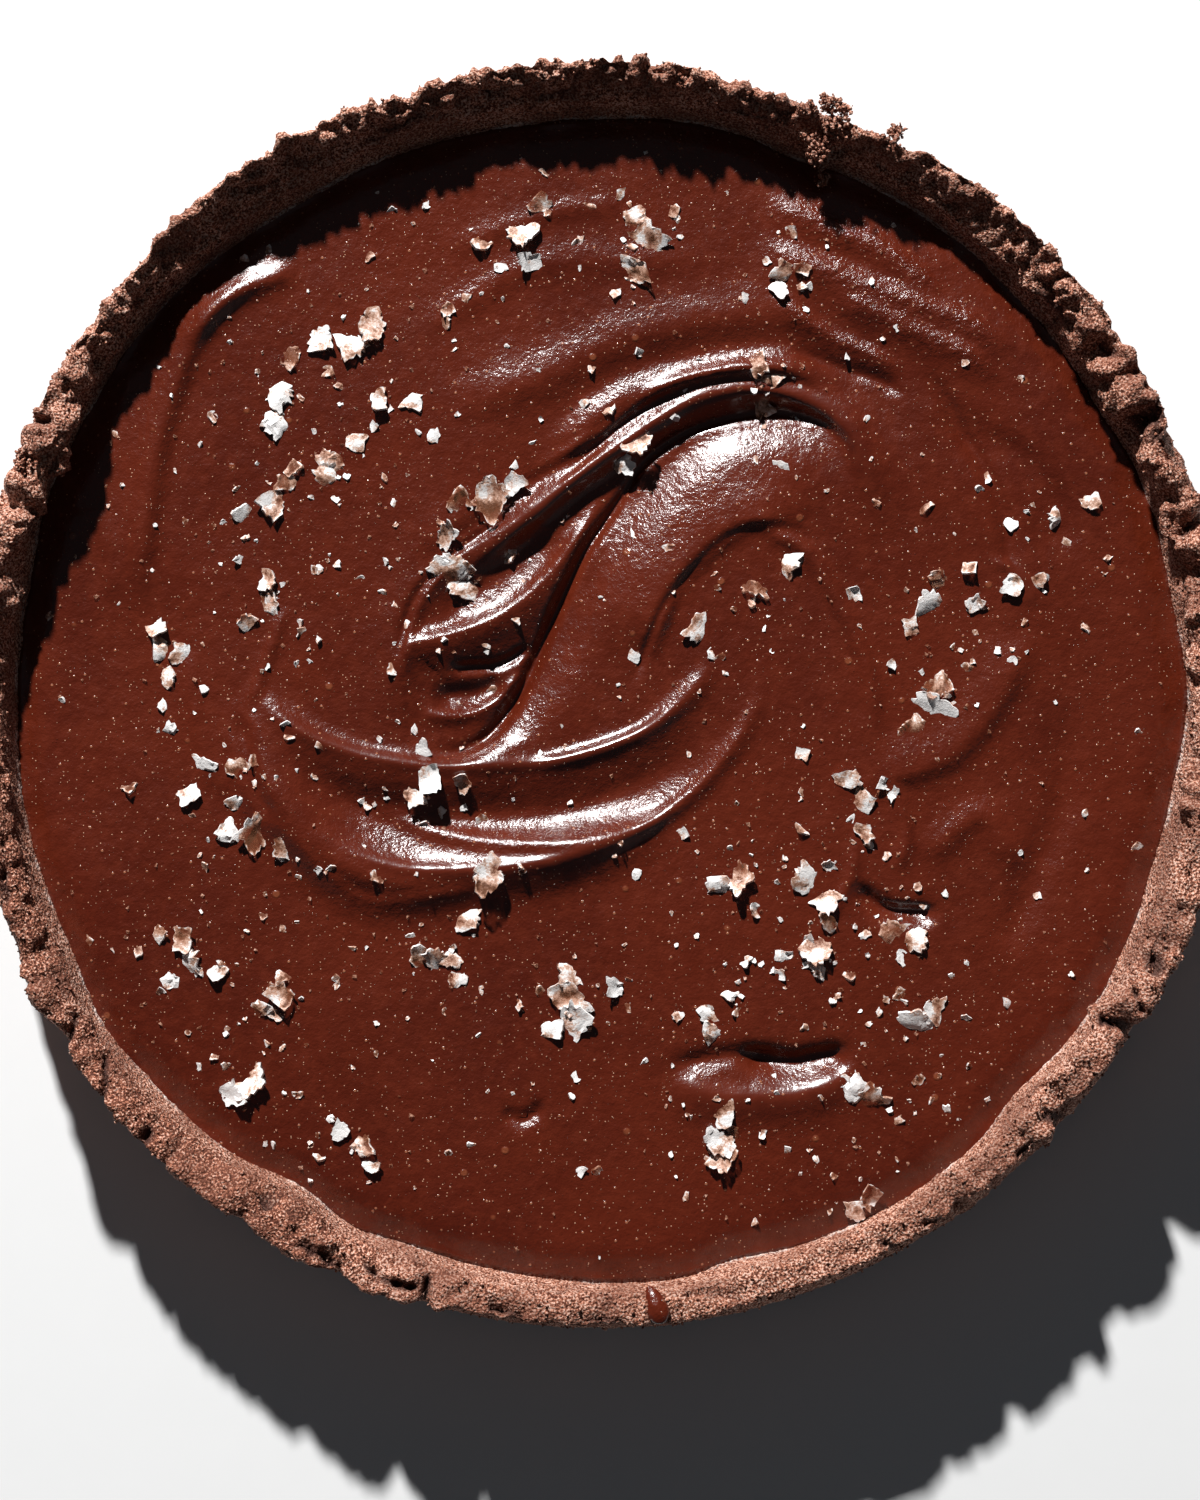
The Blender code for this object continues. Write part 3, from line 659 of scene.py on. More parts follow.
# rise, width left and right of the line, then the line, in mm; a negative rise is a furrow
spoonStrokes = {
    "archLip": (2.6, 4.6, 1.9, (
        (-30, 22), (-17, 31), (-7, 39), (2.5, 46), (11, 51.5), (19, 56), (29.5, 58.4), (38.5, 57),
        (46, 51), (51, 40), (52.5, 30))),
    "archFurrow": (-2.8, 5.5, 14.0, (
        (52, 39), (46.5, 48), (40, 52.8), (31, 54), (21, 51.5), (10, 43), (-1, 29),
        (-9.5, 11), (-18.5, -1), (-32, -9), (-38, -9.5))),
    "farSwell": (1.9, 3.4, 2.0, (
        (-12, 41), (-7, 45.5), (0.5, 53.5), (9, 58.5), (19, 61), (30.5, 63), (39, 62),
        (48, 59))),
    "fingerGroove": (-1.2, 2.5, 2.5, ((-34, 21.5), (-28, 28.5), (-15.5, 37.5), (2, 52.5))),
    "moundStep": (1.7, 8.0, 1.6, (
        (8, 6), (11, 14), (14.5, 22.5), (20.5, 28.5), (27.5, 33.5), (34, 34.5), (41, 32))),
    "moundTail": (1.0, 1.6, 1.5, (
        (27.5, 36.5), (33, 31.5), (39, 28), (45, 18), (49.5, 8), (51, -1), (50, -10.5))),
    "nearCrest": (1.5, 2.5, 6.0, (
        (-66, 4), (-62, 0), (-56, -5), (-46.5, -10), (-36, -12), (-26, -12), (-15, -8.5), (-9, -5))),
    "nearCrestEnd": (1.0, 1.7, 2.4, (
        (-16, -13), (-2, -9.5), (8, -6), (13.5, -1.5), (19.5, 5), (22, 10))),
    "foldInner": (1.1, 1.5, 1.8, (
        (-46, -16), (-39.4, -20), (-32.5, -22.9), (-23.8, -25), (-15, -25.8), (-5, -25.8), (3.8, -24.2),
        (11.3, -21.3), (18.8, -15.4), (25.1, -7.9), (29.5, -0.3), (31, 8))),
    "foldOuter": (2.9, 5.5, 4.0, (
        (-68, 3), (-66.5, -2.5), (-64, -10.5), (-57.5, -20), (-48.5, -29), (-36.5, -33),
        (-24.5, -32), (-7.5, -29.5), (7, -24.5), (14, -19))),
    "nearTrough": (-1.5, 4.0, 4.0, (
        (-60, -6), (-50, -15), (-40, -20), (-25, -20.5), (-5, -19.5), (12, -13), (24, 0))),
    "fingerEdge": (0.9, 1.6, 6.0, (
        (-18, 34), (-22.5, 31.5), (-29, 24.5), (-33.5, 17.5), (-36, 9), (-35.5, 1.5), (-33, -5))),
    "fingerCup": (-1.5, 3.2, 3.2, ((-30, 15), (-24, 20.5), (-16, 26), (-8, 34))),
    "fingerCrest": (2.0, 2.0, 4.5, (
        (-36.5, 2), (-35.5, 6), (-33.5, 10.5), (-26.5, 12.5), (-17, 16.5), (-9, 23.5), (-2, 33),
        (2, 40))),
    "fingerEye": (-1.4, 2.0, 2.0, ((-31, 0.5), (-27, 1.6), (-22, 2.2), (-17, 4.5))),
    "leftWave": (1.4, 1.8, 4.0, (
        (-57, 82), (-61.6, 79.1), (-68.2, 75.8), (-73.9, 69.9), (-78, 60), (-81.2, 49.1), (-83.2, 36.7),
        (-84.7, 24.3), (-85, 14))),
    "leftTip": (0.9, 2.2, 2.0, ((-76, 66), (-71, 73), (-66, 77), (-60, 79.5), (-55, 82))),
    "farWave": (1.2, 5.0, 4.0, ((-31, 54.5), (-12, 60), (8, 68.5), (28.5, 72), (45, 70))),
    "farRightWave": (1.0, 1.9, 4.0, (
        (30, 93.8), (38, 91.3), (45.8, 88), (51.6, 86), (57.3, 82), (61.5, 78.5), (66, 74))),
    "rightWave": (1.3, 2.3, 5.0, (
        (28, 86.5), (35.3, 83.7), (44.9, 80.1), (55.4, 75.7), (61.1, 73.7), (66.9, 71.9), (73, 68),
        (78, 63))),
    "rightCrease": (-1.1, 1.2, 1.5, (
        (60, 63), (64.6, 57.3), (67, 52.1), (72.2, 43.5), (75.6, 34.9), (76.8, 27.1), (78.5, 21))),
    "crescent": (1.2, 2.2, 6.0, (
        (80, 14), (78, 7.5), (72, -3), (64.5, -10.5), (52.5, -14), (48, -14))),
    "smallCrescent": (0.9, 3.0, 2.2, ((60.5, -30.5), (65.5, -24.5), (72, -21.5), (78, -32.5))),
    "tailSlit": (-2.0, 1.3, 2.2, ((47.5, -33), (52.5, -37.5), (58, -38.5), (64, -38.5))),
    "dab": (1.5, 2.3, 4.0, ((12, -68.6), (20.5, -72.4), (31, -73), (40, -71.6), (50, -66.5))),
    "dabHollow": (-2.4, 1.5, 3.0, ((25.5, -64), (34, -66), (42, -64.8), (47.5, -64))),
    # finer marks, too slight for the CAD's solid
    "nearRightWave": (0.9, 1.7, 4.0, (
        (42, 76.5), (48.4, 74.4), (52, 72.8), (58.9, 69.3), (65.8, 66.4), (70, 64), (76, 59))),
    "shortWave": (0.9, 1.2, 2.5, (
        (33, 77), (36.8, 73.2), (42.6, 69.1), (47.2, 66.8), (52.4, 64.4), (56.6, 60.9))),
    "waveCrease": (-0.8, 1.1, 1.1, ((35, 66.8), (40.8, 64.5), (46.6, 62.2), (52.4, 60.5), (58, 56.5))),
    "rightHollow": (-0.9, 2.6, 5.0, ((64, 57), (70.5, 50.5), (79, 45.5), (85, 38), (87, 31), (88, 24))),
    "rightEye": (0.8, 1.0, 1.0, ((73, 26.5), (76, 25.5), (78, 23.8), (79.8, 21.5), (80.5, 17))),
    "rightShade": (-0.9, 3.0, 3.0, ((85, 2), (86, -8), (86, -18), (82, -29), (77.5, -40), (73, -48))),
    "dabReach": (-1.2, 1.3, 2.2, ((12, -68), (17.5, -66), (23, -64.9), (30, -64.6), (37, -64.5))),
    "nearCrestEdge": (0.7, 1.2, 1.3, (
        (-66, 3.5), (-60.1, -1.8), (-53.9, -5.8), (-46.3, -8.6), (-38.8, -10.4), (-30, -11.7),
        (-20, -11.7), (-8.8, -10.9), (0, -8.8), (7.5, -5.6), (13.8, -1.9), (18.8, 2.3), (22, 8))),
    "foldEdge": (0.7, 1.2, 1.2, (
        (-52, -24), (-40, -29.5), (-30, -31), (-18, -30.6), (-8, -29.2), (3, -26), (12, -21),
        (19, -14))),
    "archEdge": (0.6, 1.0, 0.9, (
        (-14, 34), (-4, 42), (5, 48.5), (13, 54), (21, 57.5), (30, 58.5), (39, 55.5), (46, 49))),
    "archCrease": (-1.0, 0.9, 0.9, (
        (50.8, 40.7), (45.5, 49.3), (40.1, 53.4), (32.6, 54.7), (24, 53.6), (15.4, 50.4), (9, 45.5),
        (4, 38), (-2.8, 27.7))),
    "longCrease": (-1.9, 1.3, 1.3, (
        (7, 42), (2, 35), (-2.8, 27.7), (-9.2, 13.8), (-13.5, 4.1), (-18.8, -4.5), (-25, -8.8),
        (-34, -10))),
    "tipShadow": (-1.2, 1.1, 1.1, ((-12, 12), (-14.5, 9.5), (-18.8, 7.3), (-24.2, 6.8), (-28.4, 6.3))),
    "cupEdge": (-0.8, 0.8, 0.8, (
        (-36.5, 6), (-36, 13), (-33.5, 20), (-28, 26.5), (-20, 32.5), (-12, 36.5))),
    "swellEdge": (0.8, 1.1, 1.1, (
        (-16, 41), (-8, 45.5), (0, 50.2), (5.8, 54.6), (12, 58.6), (19.8, 61.5), (30, 62.5),
        (42, 60.5))),
    "swellCrease": (-0.6, 0.9, 0.7, (
        (-10, 39), (-2, 46), (6, 53), (15, 58), (25, 60.5), (36, 60), (46, 55))),
    "moundCrease": (-0.7, 0.8, 0.9, (
        (6, 2), (9, 10), (13, 19), (19, 26.5), (26, 32), (33, 33.5))),
    "eyeLip": (0.8, 1.0, 1.4, ((-33, 0), (-29, -2.4), (-21, -1), (-12, 7.5))),
    "leftBead": (0.7, 1.0, 1.0, ((-57.5, 18.5), (-61, 8.5), (-64.5, -1))),
    "leftThread": (0.6, 1.6, 1.6, ((-75.5, 11), (-75, 1.5), (-71.5, -11.5), (-66.5, -18.5))),
    "foldShadow": (-1.1, 1.2, 1.2, ((-67, -1), (-64.5, -10), (-62, -18), (-59, -24))),
    "foldThread": (0.7, 1.2, 3.0, (
        (-70, -10), (-62, -20), (-56.5, -25), (-49.5, -32.5), (-39.5, -37), (-16, -33.5))),
    "farThread": (0.45, 2.0, 1.6, ((-29, 84.5), (-16.5, 89), (-5, 92.5), (8, 93))),
    "farFlat": (0.55, 2.6, 2.6, ((-36.5, 68), (-23.5, 75.5), (-11.5, 82), (8, 83), (22, 82))),
    "tailRidge": (0.9, 1.3, 1.3, ((54, -14), (56, -18.5), (57, -25), (55.5, -32))),
    "tailThread": (0.5, 0.9, 0.9, ((48, -23), (47.5, -30), (44.5, -37), (40, -44))),
    "nick": (-1.2, 1.1, 1.1, ((-18, -75), (-14, -76.8), (-9, -74))),
    "leftHook": (0.6, 1.1, 1.1, ((-97.5, 35.5), (-92.5, 34), (-90.5, 26), (-90, 18))),
}


def onFilling(points):  # where points of the swirl's drawing lie on the filling, in mm
    return np.array(points, float) * fillSettings["swirlScale"] + fillSettings["swirlShift"]


def smoothPath(points, step=0.6):  # points every step mm on a smooth curve through the given ones
    given = onFilling(points)
    given = np.vstack([2 * given[0] - given[1], given, 2 * given[-1] - given[-2]])
    parts = []
    for a, b, c, d in zip(given, given[1:], given[2:], given[3:]):
        count = max(2, int(np.hypot(*(c - b)) / step))
        t = np.linspace(0, 1, count, endpoint=False)[:, None]
        parts.append(0.5 * (
            2 * b + (c - a) * t + (2 * a - 5 * b + 4 * c - d) * t ** 2
            + (3 * b - a - 3 * c + d) * t ** 3))
    return np.vstack(parts + [given[-2][None]]) * mm


def strokeHeight(x, y, rise, left, right, points):
    path = smoothPath(points)
    reach = 3 * max(left, right) * mm
    low, high = path.min(axis=0) - reach, path.max(axis=0) + reach
    near = (x > low[0]) & (x < high[0]) & (y > low[1]) & (y < high[1])
    nx, ny = x[near], y[near]
    nearest = np.full(nx.shape, np.inf)
    side = np.zeros(nx.shape)
    along = np.zeros(nx.shape)
    for index, (start, end) in enumerate(zip(path, path[1:])):
        length = np.hypot(*(end - start))
        ux, uy = (end - start) / length
        t = np.clip((nx - start[0]) * ux + (ny - start[1]) * uy, 0, length)
        dx = nx - start[0] - t * ux
        dy = ny - start[1] - t * uy
        away = dx * dx + dy * dy
        closer = away < nearest
        nearest[closer] = away[closer]
        side[closer] = (ux * dy - uy * dx)[closer]
        along[closer] = (index + t / length)[closer] / (len(path) - 1)
    width = np.where(side > 0, left, right) * mm
    ends = np.clip(np.minimum(along, 1 - along) / 0.22, 0, 1)
    height = np.zeros(x.shape)
    height[near] = rise * mm * np.exp(-nearest / width ** 2) * ends * ends * (3 - 2 * ends)
    return height


def slowWaves(x, y):
    seed, count, shortest, longest, slope = fillSettings["waves"]
    draws = random.Random(seed)
    height = np.zeros(x.shape)
    for _ in range(count):
        heading = draws.uniform(0, math.pi)
        wavelength = draws.uniform(shortest, longest) * mm
        phase = draws.uniform(0, 2 * math.pi)
        run = x * math.cos(heading) + y * math.sin(heading)
        height += slope * wavelength * np.sin(run * 2 * math.pi / wavelength + phase)
    return height


def fillHeight(x, y):
    s = crustSettings
    x, y = np.asarray(x, float), np.asarray(y, float)
    fromWall = wallRadius(np.arctan2(y, x), s["fillLevel"]) - np.hypot(x, y)
    dip = s["edgeDip"] * np.exp(-(fromWall / s["edgeDipWidth"]) ** 2)
    height = s["fillLevel"] + slowWaves(x, y) - dip
    for stroke in spoonStrokes.values():
        height = height + strokeHeight(x, y, *stroke)
    return height


def discPlace(u, v):  # where a corner of a square grid, from -1 to 1 each way, goes on the round filling
    s = fillSettings
    across = u * math.sqrt(1 - v * v / 2)
    up = v * math.sqrt(1 - u * u / 2)
    share = math.hypot(across, up)
    angle = math.atan2(up, across)
    share *= s["centreCrowding"] + (1 - s["centreCrowding"]) * share * share
    level = crustSettings["fillLevel"] - crustSettings["edgeDip"]
    radius = (wallRadius(angle, level) + s["tuckIn"]) * share
    x = radius * math.cos(angle) + s["swirlCentre"][0] * (1 - share)
    y = radius * math.sin(angle) + s["swirlCentre"][1] * (1 - share)
    return x, y


def alongStrokes(x, y, widths):  # 1 on the line of any of these strokes, fading to 0 beside it
    share = np.zeros(x.shape)
    for name, width in widths.items():
        share = np.maximum(share, strokeHeight(x, y, 1 / mm, width, width, spoonStrokes[name][3]))
    return share


def ganacheFinish():
    f = Finish("darkGanache")
    colours = fillSettings["colours"]
    slow = f.noise(30 * mm, 2, 0.5)
    cloud = f.noise(2.6 * mm, 3, 0.6, 0.6)
    colour = f.blend(slow.between(0.3, 0.7), colours["dark"], colours["light"])
    colour = f.blend(cloud.between(0.4, 0.7) * 0.35, colour, colours["cloud"])
    # pale dust specks; their bright colour is in part a painted glint on the grains
    dust = f.specks(0.75 * mm, 0.15 * mm, 0.48)
    sesame = f.specks(2.0 * mm, 0.33 * mm, 0.45)
    husks = f.specks(8 * mm, 0.85 * mm, 0.40)
    colour = f.blend(husks * 0.6, colour, colours["husk"])
    colour = f.blend(sesame * 0.7, colour, colours["sesame"])
    # the dust colour, in part a painted glint
    colour = f.blend(dust * f.noise(2.5 * mm, 1, 0.5).between(0.3, 0.65), colour, colours["dust"])
    gloss = f.noise(12 * mm, 3, 0.6, 0.2)
    fine = f.noise(0.55 * mm, 3, 0.65)
    ripple = f.noise(1.7 * mm, 3, 0.6, 0.4)
    shine = f.attribute("shine")
    wrinkled = (ripple * 1.2 + fine * 0.5) * (1 - 0.75 * shine + 1.2 * f.attribute("ripple"))
    relief = wrinkled + dust * 0.60 + sesame * 0.50 + husks * 0.6
    return f.done(
        Base_Color=colour, Roughness=0.15 + 0.14 * gloss, Normal=f.bump(relief, 0.17 * mm),
        Specular_IOR_Level=0.5, Coat_Weight=0.45 + 0.5 * shine, Coat_Roughness=0.12)


def makeFilling(finish):
    s = fillSettings
    bm = bmesh.new()
    bmesh.ops.create_grid(bm, x_segments=s["cells"], y_segments=s["cells"], size=1)
    rim = [edge for edge in bm.edges if edge.is_boundary]
    edgeShare = []
    for corner in bm.verts:
        u, v = corner.co.x, corner.co.y
        edgeShare.append(math.hypot(u * math.sqrt(1 - v * v / 2), v * math.sqrt(1 - u * u / 2)))
        corner.co.x, corner.co.y = discPlace(u, v)
    x, y = (np.array([corner.co[axis] for corner in bm.verts]) for axis in (0, 1))
    layers = addLayers(bm, ("shine", "ripple"))
    marks = [alongStrokes(x, y, s[name]) for name in ("shineWidths", "rippleWidths")]
    for corner, height, share, shine, ripple in zip(bm.verts, fillHeight(x, y), edgeShare, *marks):
        corner[layers["shine"]], corner[layers["ripple"]] = shine, ripple
        corner.co.z = height
        inward = (1 - share) * s["sheetRadius"]
        clinging = math.exp(-inward / s["climbWidth"]) * (0.6 + 1.2 * noiseAt(corner.co, 7 * mm, 3))
        uneven = s["unevenness"] * noiseAt(corner.co, s["unevenSize"], 9)
        corner.co.z += s["climb"] * max(0, clinging) + uneven
    for corner in newCorners(bmesh.ops.extrude_edge_only(bm, edges=rim)):
        angle = math.atan2(corner.co.y, corner.co.x)
        radius = wallRadius(angle, s["underside"]) - 0.35 * mm
        corner.co = (radius * math.cos(angle), radius * math.sin(angle), s["underside"])
    bmesh.ops.holes_fill(bm, edges=[edge for edge in bm.edges if edge.is_boundary], sides=0)
    bmesh.ops.recalc_face_normals(bm, faces=bm.faces)
    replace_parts(newPiece("ganache", bm, finish), "filling")


darkGanache = ganacheFinish()
makeFilling(darkGanache)
print("tart: filling swirled")


# flaky salt: pinches of large flakes where the CAD has them, then bits and fine grains

saltSettings = {
    "seed": 42,
    "bits": 560,
    "grains": 1000,
    "grainShapes": 9,
    "spread": 104 * mm,
    "top": 22.2 * mm,
    "flakeThickness": (0.35, 0.75),  # thinnest and thickest, in mm
    "bitThickness": (0.25, 0.6),
    "bitSizes": (0.9, 2.3),  # smallest, and how much larger they get, in mm
    "grainSizes": (0.20, 0.62),
    "flakeWhiteness": (0.10, 0.20, 0.30, 0.40, 0.45, 0.55, 0.65, 0.75, 0.85, 0.95),
    "grainWhiteness": (0.0, 0.05, 0.1, 0.3, 0.8),
    "stepHeights": (-0.42, -0.30, -0.18, 0.20, 0.34),  # from one ledge of a flake to the next, in mm
    "cell": 0.75 * mm,
    "sharpAngle": 28,
    "colours": {"clear": (0.50, 0.190, 0.090), "cloudy": (0.62, 0.38, 0.28), "white": (0.86, 0.83, 0.81)},
    "pinches": (  # centre, reach, number of flakes and size of the largest, in mm
        (-60, 59, 9, 4, 10), (-45, 68, 6, 3, 8.5), (-50, 45, 7, 4, 7.5), (-20, 38, 6, 3, 7.5),
        (-27, 25, 6, 3, 8), (9, 86, 5, 3, 8.5), (-14, 88, 9, 4, 6.5), (32, 61, 5, 3, 7.5),
        (35, 80, 4, 3, 5.2), (4, 45, 5, 2, 6.5), (35, 26, 6, 2, 7.8), (19, 14, 4, 1, 6.7),
        (62, 18, 8, 4, 6.5), (62, -1, 5, 3, 8.5), (49, -18, 6, 3, 6.7), (26, -33, 4, 2, 7),
        (39, -33, 5, 2, 7), (54, -43, 5, 2, 7), (40, -46, 7, 4, 6.3), (59, -60, 4, 2, 7),
        (50, -74, 4, 2, 7.8), (22, -81, 5, 3, 7.4), (21, -58, 7, 4, 5.4), (-5, -55, 8, 5, 8.5),
        (-20, -32, 9, 2, 7.8), (-29, -48, 5, 4, 6.7), (-76, -48, 8, 5, 7), (-58, -54, 5, 3, 5.5),
        (-64, -70, 4, 2, 7), (-44, -81, 5, 3, 5.4), (-63, -24, 8, 4, 7), (-73, -12, 9, 4, 6.7),
        (-80, 10, 6, 4, 6.7), (-61, 18, 6, 3, 5.5), (-31, -14, 7, 4, 6.3), (-35, 57, 8, 3, 5.4),
        (77, 22, 8, 3, 5), (86, 34, 9, 3, 5), (50, -91, 4, 2, 5.4), (-60, 37, 7, 3, 6)),
}


def saltPlaces():  # the same draws, in the same order, as the flakes of the CAD
    draws = random.Random(saltSettings["seed"])
    flakes = []
    for drawnX, drawnY, reach, count, largest in saltSettings["pinches"]:
        x, y = onFilling((drawnX, drawnY))
        heading = draws.uniform(0, 2 * math.pi)
        for index in range(count):
            away = reach * mm * math.sqrt(index / max(1, count - 1)) * draws.uniform(0.8, 1.1)
            heading += 2.4 + draws.uniform(-0.4, 0.4)
            flakes.append({
                "x": x * mm + away * math.cos(heading),
                "y": y * mm + away * math.sin(heading),
                "size": largest * mm * 0.84 ** index,
                "proportion": draws.uniform(0.62, 0.98),
                "turn": draws.uniform(0, math.pi),
                "tilt": draws.uniform(-0.45, 0.45),
                "roll": draws.uniform(-0.45, 0.45),
            })
    return flakes


def brokenEdges(longSide, shortSide, draws):  # directions and distances of the sides of a broken flake
    edges = []
    for quarter in range(4):
        half = (longSide if quarter % 2 == 0 else shortSide) / 2
        edges.append((quarter * math.pi / 2 + draws.uniform(-0.12, 0.12), half * draws.uniform(0.85, 1)))
    for _ in range(draws.choice((1, 2, 2, 3))):
        heading = draws.uniform(0, 2 * math.pi)
        corner = math.hypot(longSide * math.cos(heading), shortSide * math.sin(heading)) / 2
        edges.append((heading, corner * draws.uniform(0.62, 1.0)))
    return edges


def flakeShape(longSide, shortSide, thickness, draws):  # a broken flake, stepped like a hollow pyramid
    s = saltSettings
    columns = max(3, min(10, round(longSide / s["cell"])))
    rows = max(3, min(9, round(shortSide / s["cell"])))
    bm = bmesh.new()
    layers = addLayers(bm, ("whiteness", "ring"))
    bmesh.ops.create_grid(bm, x_segments=columns, y_segments=rows, size=1)
    edges = brokenEdges(longSide, shortSide, draws)
    look = draws.choice(s["flakeWhiteness"])
    peak = Vector((draws.uniform(-0.25, 0.25) * longSide, draws.uniform(-0.25, 0.25) * shortSide))
    stepWidth = draws.uniform(0.7, 1.4) * mm
    stepHeight = draws.choice(s["stepHeights"]) * mm
    curl = draws.uniform(-0.05, 0.05) / mm
    whitePlace = draws.uniform(0, 90) * mm
    for corner in bm.verts:
        heading = math.atan2(corner.co.y * shortSide, corner.co.x * longSide)
        share = max(abs(corner.co.x), abs(corner.co.y))
        reach = min(far / max(0.15, math.cos(heading - side)) for side, far in edges)
        if corner.is_boundary:
            share *= draws.choice((1, 1, 1, 0.95, 0.88, 0.76))
        x = reach * share * math.cos(heading) + draws.uniform(-0.10, 0.10) * longSide / columns
        y = reach * share * math.sin(heading) + draws.uniform(-0.10, 0.10) * shortSide / rows
        away = max(abs(x - peak.x), abs(y - peak.y))
        step = stepHeight * math.floor(away / stepWidth) + draws.uniform(-0.07, 0.07) * mm
        white = look + 0.1 + 1.1 * noiseAt(Vector((x, y, whitePlace)), 2.6 * mm) + draws.uniform(-0.2, 0.15)
        if corner.is_boundary and draws.random() < 0.6:
            white = max(white, draws.uniform(0.4, 1))
        corner[layers["ring"]], corner[layers["whiteness"]] = away / mm, white
        corner.co = (x, y, step + curl * x * x)
    for corner in newCorners(bmesh.ops.extrude_face_region(bm, geom=list(bm.faces))):
        corner.co.z -= thickness
    bmesh.ops.recalc_face_normals(bm, faces=bm.faces)
    return meshFrom("flakeShape", bm)


def chunkShape(draws):  # a crushed crystal, about 1 across
    bm = bmesh.new()
    layers = addLayers(bm, ("whiteness",))
    bmesh.ops.create_cube(bm, size=1)
    white = draws.choice(saltSettings["grainWhiteness"])
    flat = draws.uniform(0.35, 0.9)
    for corner in bm.verts:
        corner.co = Vector([value * draws.uniform(0.3, 1.3) for value in corner.co])
        corner.co.z *= flat
        corner[layers["whiteness"]] = white + draws.uniform(-0.3, 0.4)
    return meshFrom("chunkShape", bm)


def saltFinish():
    f = Finish("flakySalt")
    colours = saltSettings["colours"]
    white = f.attribute("whiteness")
    frost = f.noise(0.5 * mm, 4, 0.75)
    lines = (f.attribute("ring") * 16).math("SINE") * 0.14
    veil = white * (0.5 + 0.5 * frost) + (frost - 0.5) * 0.9 + lines
    colour = f.ramp(veil, (0.05, colours["clear"]), (0.45, colours["cloudy"]), (0.68, colours["white"]))
    return f.done(
        Base_Color=colour, Alpha=0.15 + 0.85 * veil.between(0.0, 0.58), Roughness=0.2 + 0.3 * frost,
        Normal=f.bump(frost + lines, 0.16 * mm), Specular_IOR_Level=0.5)


def saltPiece(name, bm, finish):
    piece = newPiece(name, bm, finish)
    piece.data.set_sharp_from_angle(angle=math.radians(saltSettings["sharpAngle"]))


def makeFlakes(finish):
    s = saltSettings
    draws = random.Random(s["seed"] + 7)
    flakes = [flake for flake in saltPlaces() if math.hypot(flake["x"], flake["y"]) < 106 * mm]
    levels = fillHeight([flake["x"] for flake in flakes], [flake["y"] for flake in flakes])
    bm = bmesh.new()
    addLayers(bm, ("whiteness", "ring"))
    for flake, level in zip(flakes, levels):
        longSide, shortSide = flake["size"], flake["size"] * flake["proportion"]
        shape = flakeShape(longSide, shortSide, draws.uniform(*s["flakeThickness"]) * mm, draws)
        turn = (
            Matrix.Rotation(flake["turn"], 4, "Z") @ Matrix.Rotation(flake["tilt"], 4, "X")
            @ Matrix.Rotation(flake["roll"], 4, "Y"))
        lift = level + draws.uniform(0.35, 0.8) * mm
        top = max((turn @ corner.co).z for corner in shape.vertices) + lift
        lift -= max(0, top - s["top"])
        addCopy(bm, shape, Matrix.Translation((flake["x"], flake["y"], lift)) @ turn)
        bpy.data.meshes.remove(shape)
    saltPiece("saltFlakes", bm, finish)


def scatter(count, draws):  # thicker round the pinches, thin between them
    places = []
    while len(places) < count:
        if draws.random() < 0.62:
            drawnX, drawnY, reach = draws.choice(saltSettings["pinches"])[:3]
            x, y = onFilling((drawnX, drawnY))
            spread = (reach + 3) * mm
            place = (draws.gauss(x * mm, spread), draws.gauss(y * mm, spread))
        else:
            place = tuple(draws.uniform(-1, 1) * saltSettings["spread"] for _ in range(2))
        if math.hypot(*place) < saltSettings["spread"]:
            places.append(place)
    return places


def makeBits(finish):
    s = saltSettings
    draws = random.Random(s["seed"] + 8)
    smallest, growth = s["bitSizes"]
    places = scatter(s["bits"], draws)
    levels = fillHeight(*zip(*places))
    bm = bmesh.new()
    addLayers(bm, ("whiteness", "ring"))
    for (x, y), level in zip(places, levels):
        size = (smallest + growth * draws.random() ** 2.2) * mm
        shortSide = size * draws.uniform(0.5, 1)
        shape = flakeShape(size, shortSide, draws.uniform(*s["bitThickness"]) * mm, draws)
        turn = Euler([draws.uniform(-0.6, 0.6), draws.uniform(-0.6, 0.6), draws.uniform(0, 6.3)])
        spot = Matrix.Translation((x, y, level + draws.uniform(0, 0.25) * mm))
        addCopy(bm, shape, spot @ turn.to_matrix().to_4x4())
        bpy.data.meshes.remove(shape)
    saltPiece("saltBits", bm, finish)


def makeGrains(finish):
    s = saltSettings
    draws = random.Random(s["seed"] + 9)
    shapes = [chunkShape(draws) for _ in range(s["grainShapes"])]
    smallest, growth = s["grainSizes"]
    places = scatter(s["grains"], draws)
    levels = fillHeight(*zip(*places))
    bm = bmesh.new()
    addLayers(bm, ("whiteness",))
    for (x, y), level in zip(places, levels):
        size = (smallest + growth * draws.random() ** 3) * mm
        turn = Euler([draws.uniform(0, 6.3) for _ in range(3)]).to_matrix().to_4x4()
        spot = Matrix.Translation((x, y, level + 0.1 * size))
        addCopy(bm, draws.choice(shapes), spot @ turn @ Matrix.Scale(size, 4))
    for shape in shapes:
        bpy.data.meshes.remove(shape)
    saltPiece("saltGrains", bm, finish)


flakySalt = saltFinish()
makeFlakes(flakySalt)
makeBits(flakySalt)
makeGrains(flakySalt)
print("tart: salt scattered")


# the drop of filling that ran onto the rim

dropSettings = {
    "angle": -84.6,
    "radius": 110.9 * mm,
    "height": 27.4 * mm,
    "size": (2.0 * mm, 3.6 * mm, 1.4 * mm),
    "turn": 0.35,
    "tilt": -0.25,
    "taper": 0.28,
    "unevenness": 0.12 * mm,
}


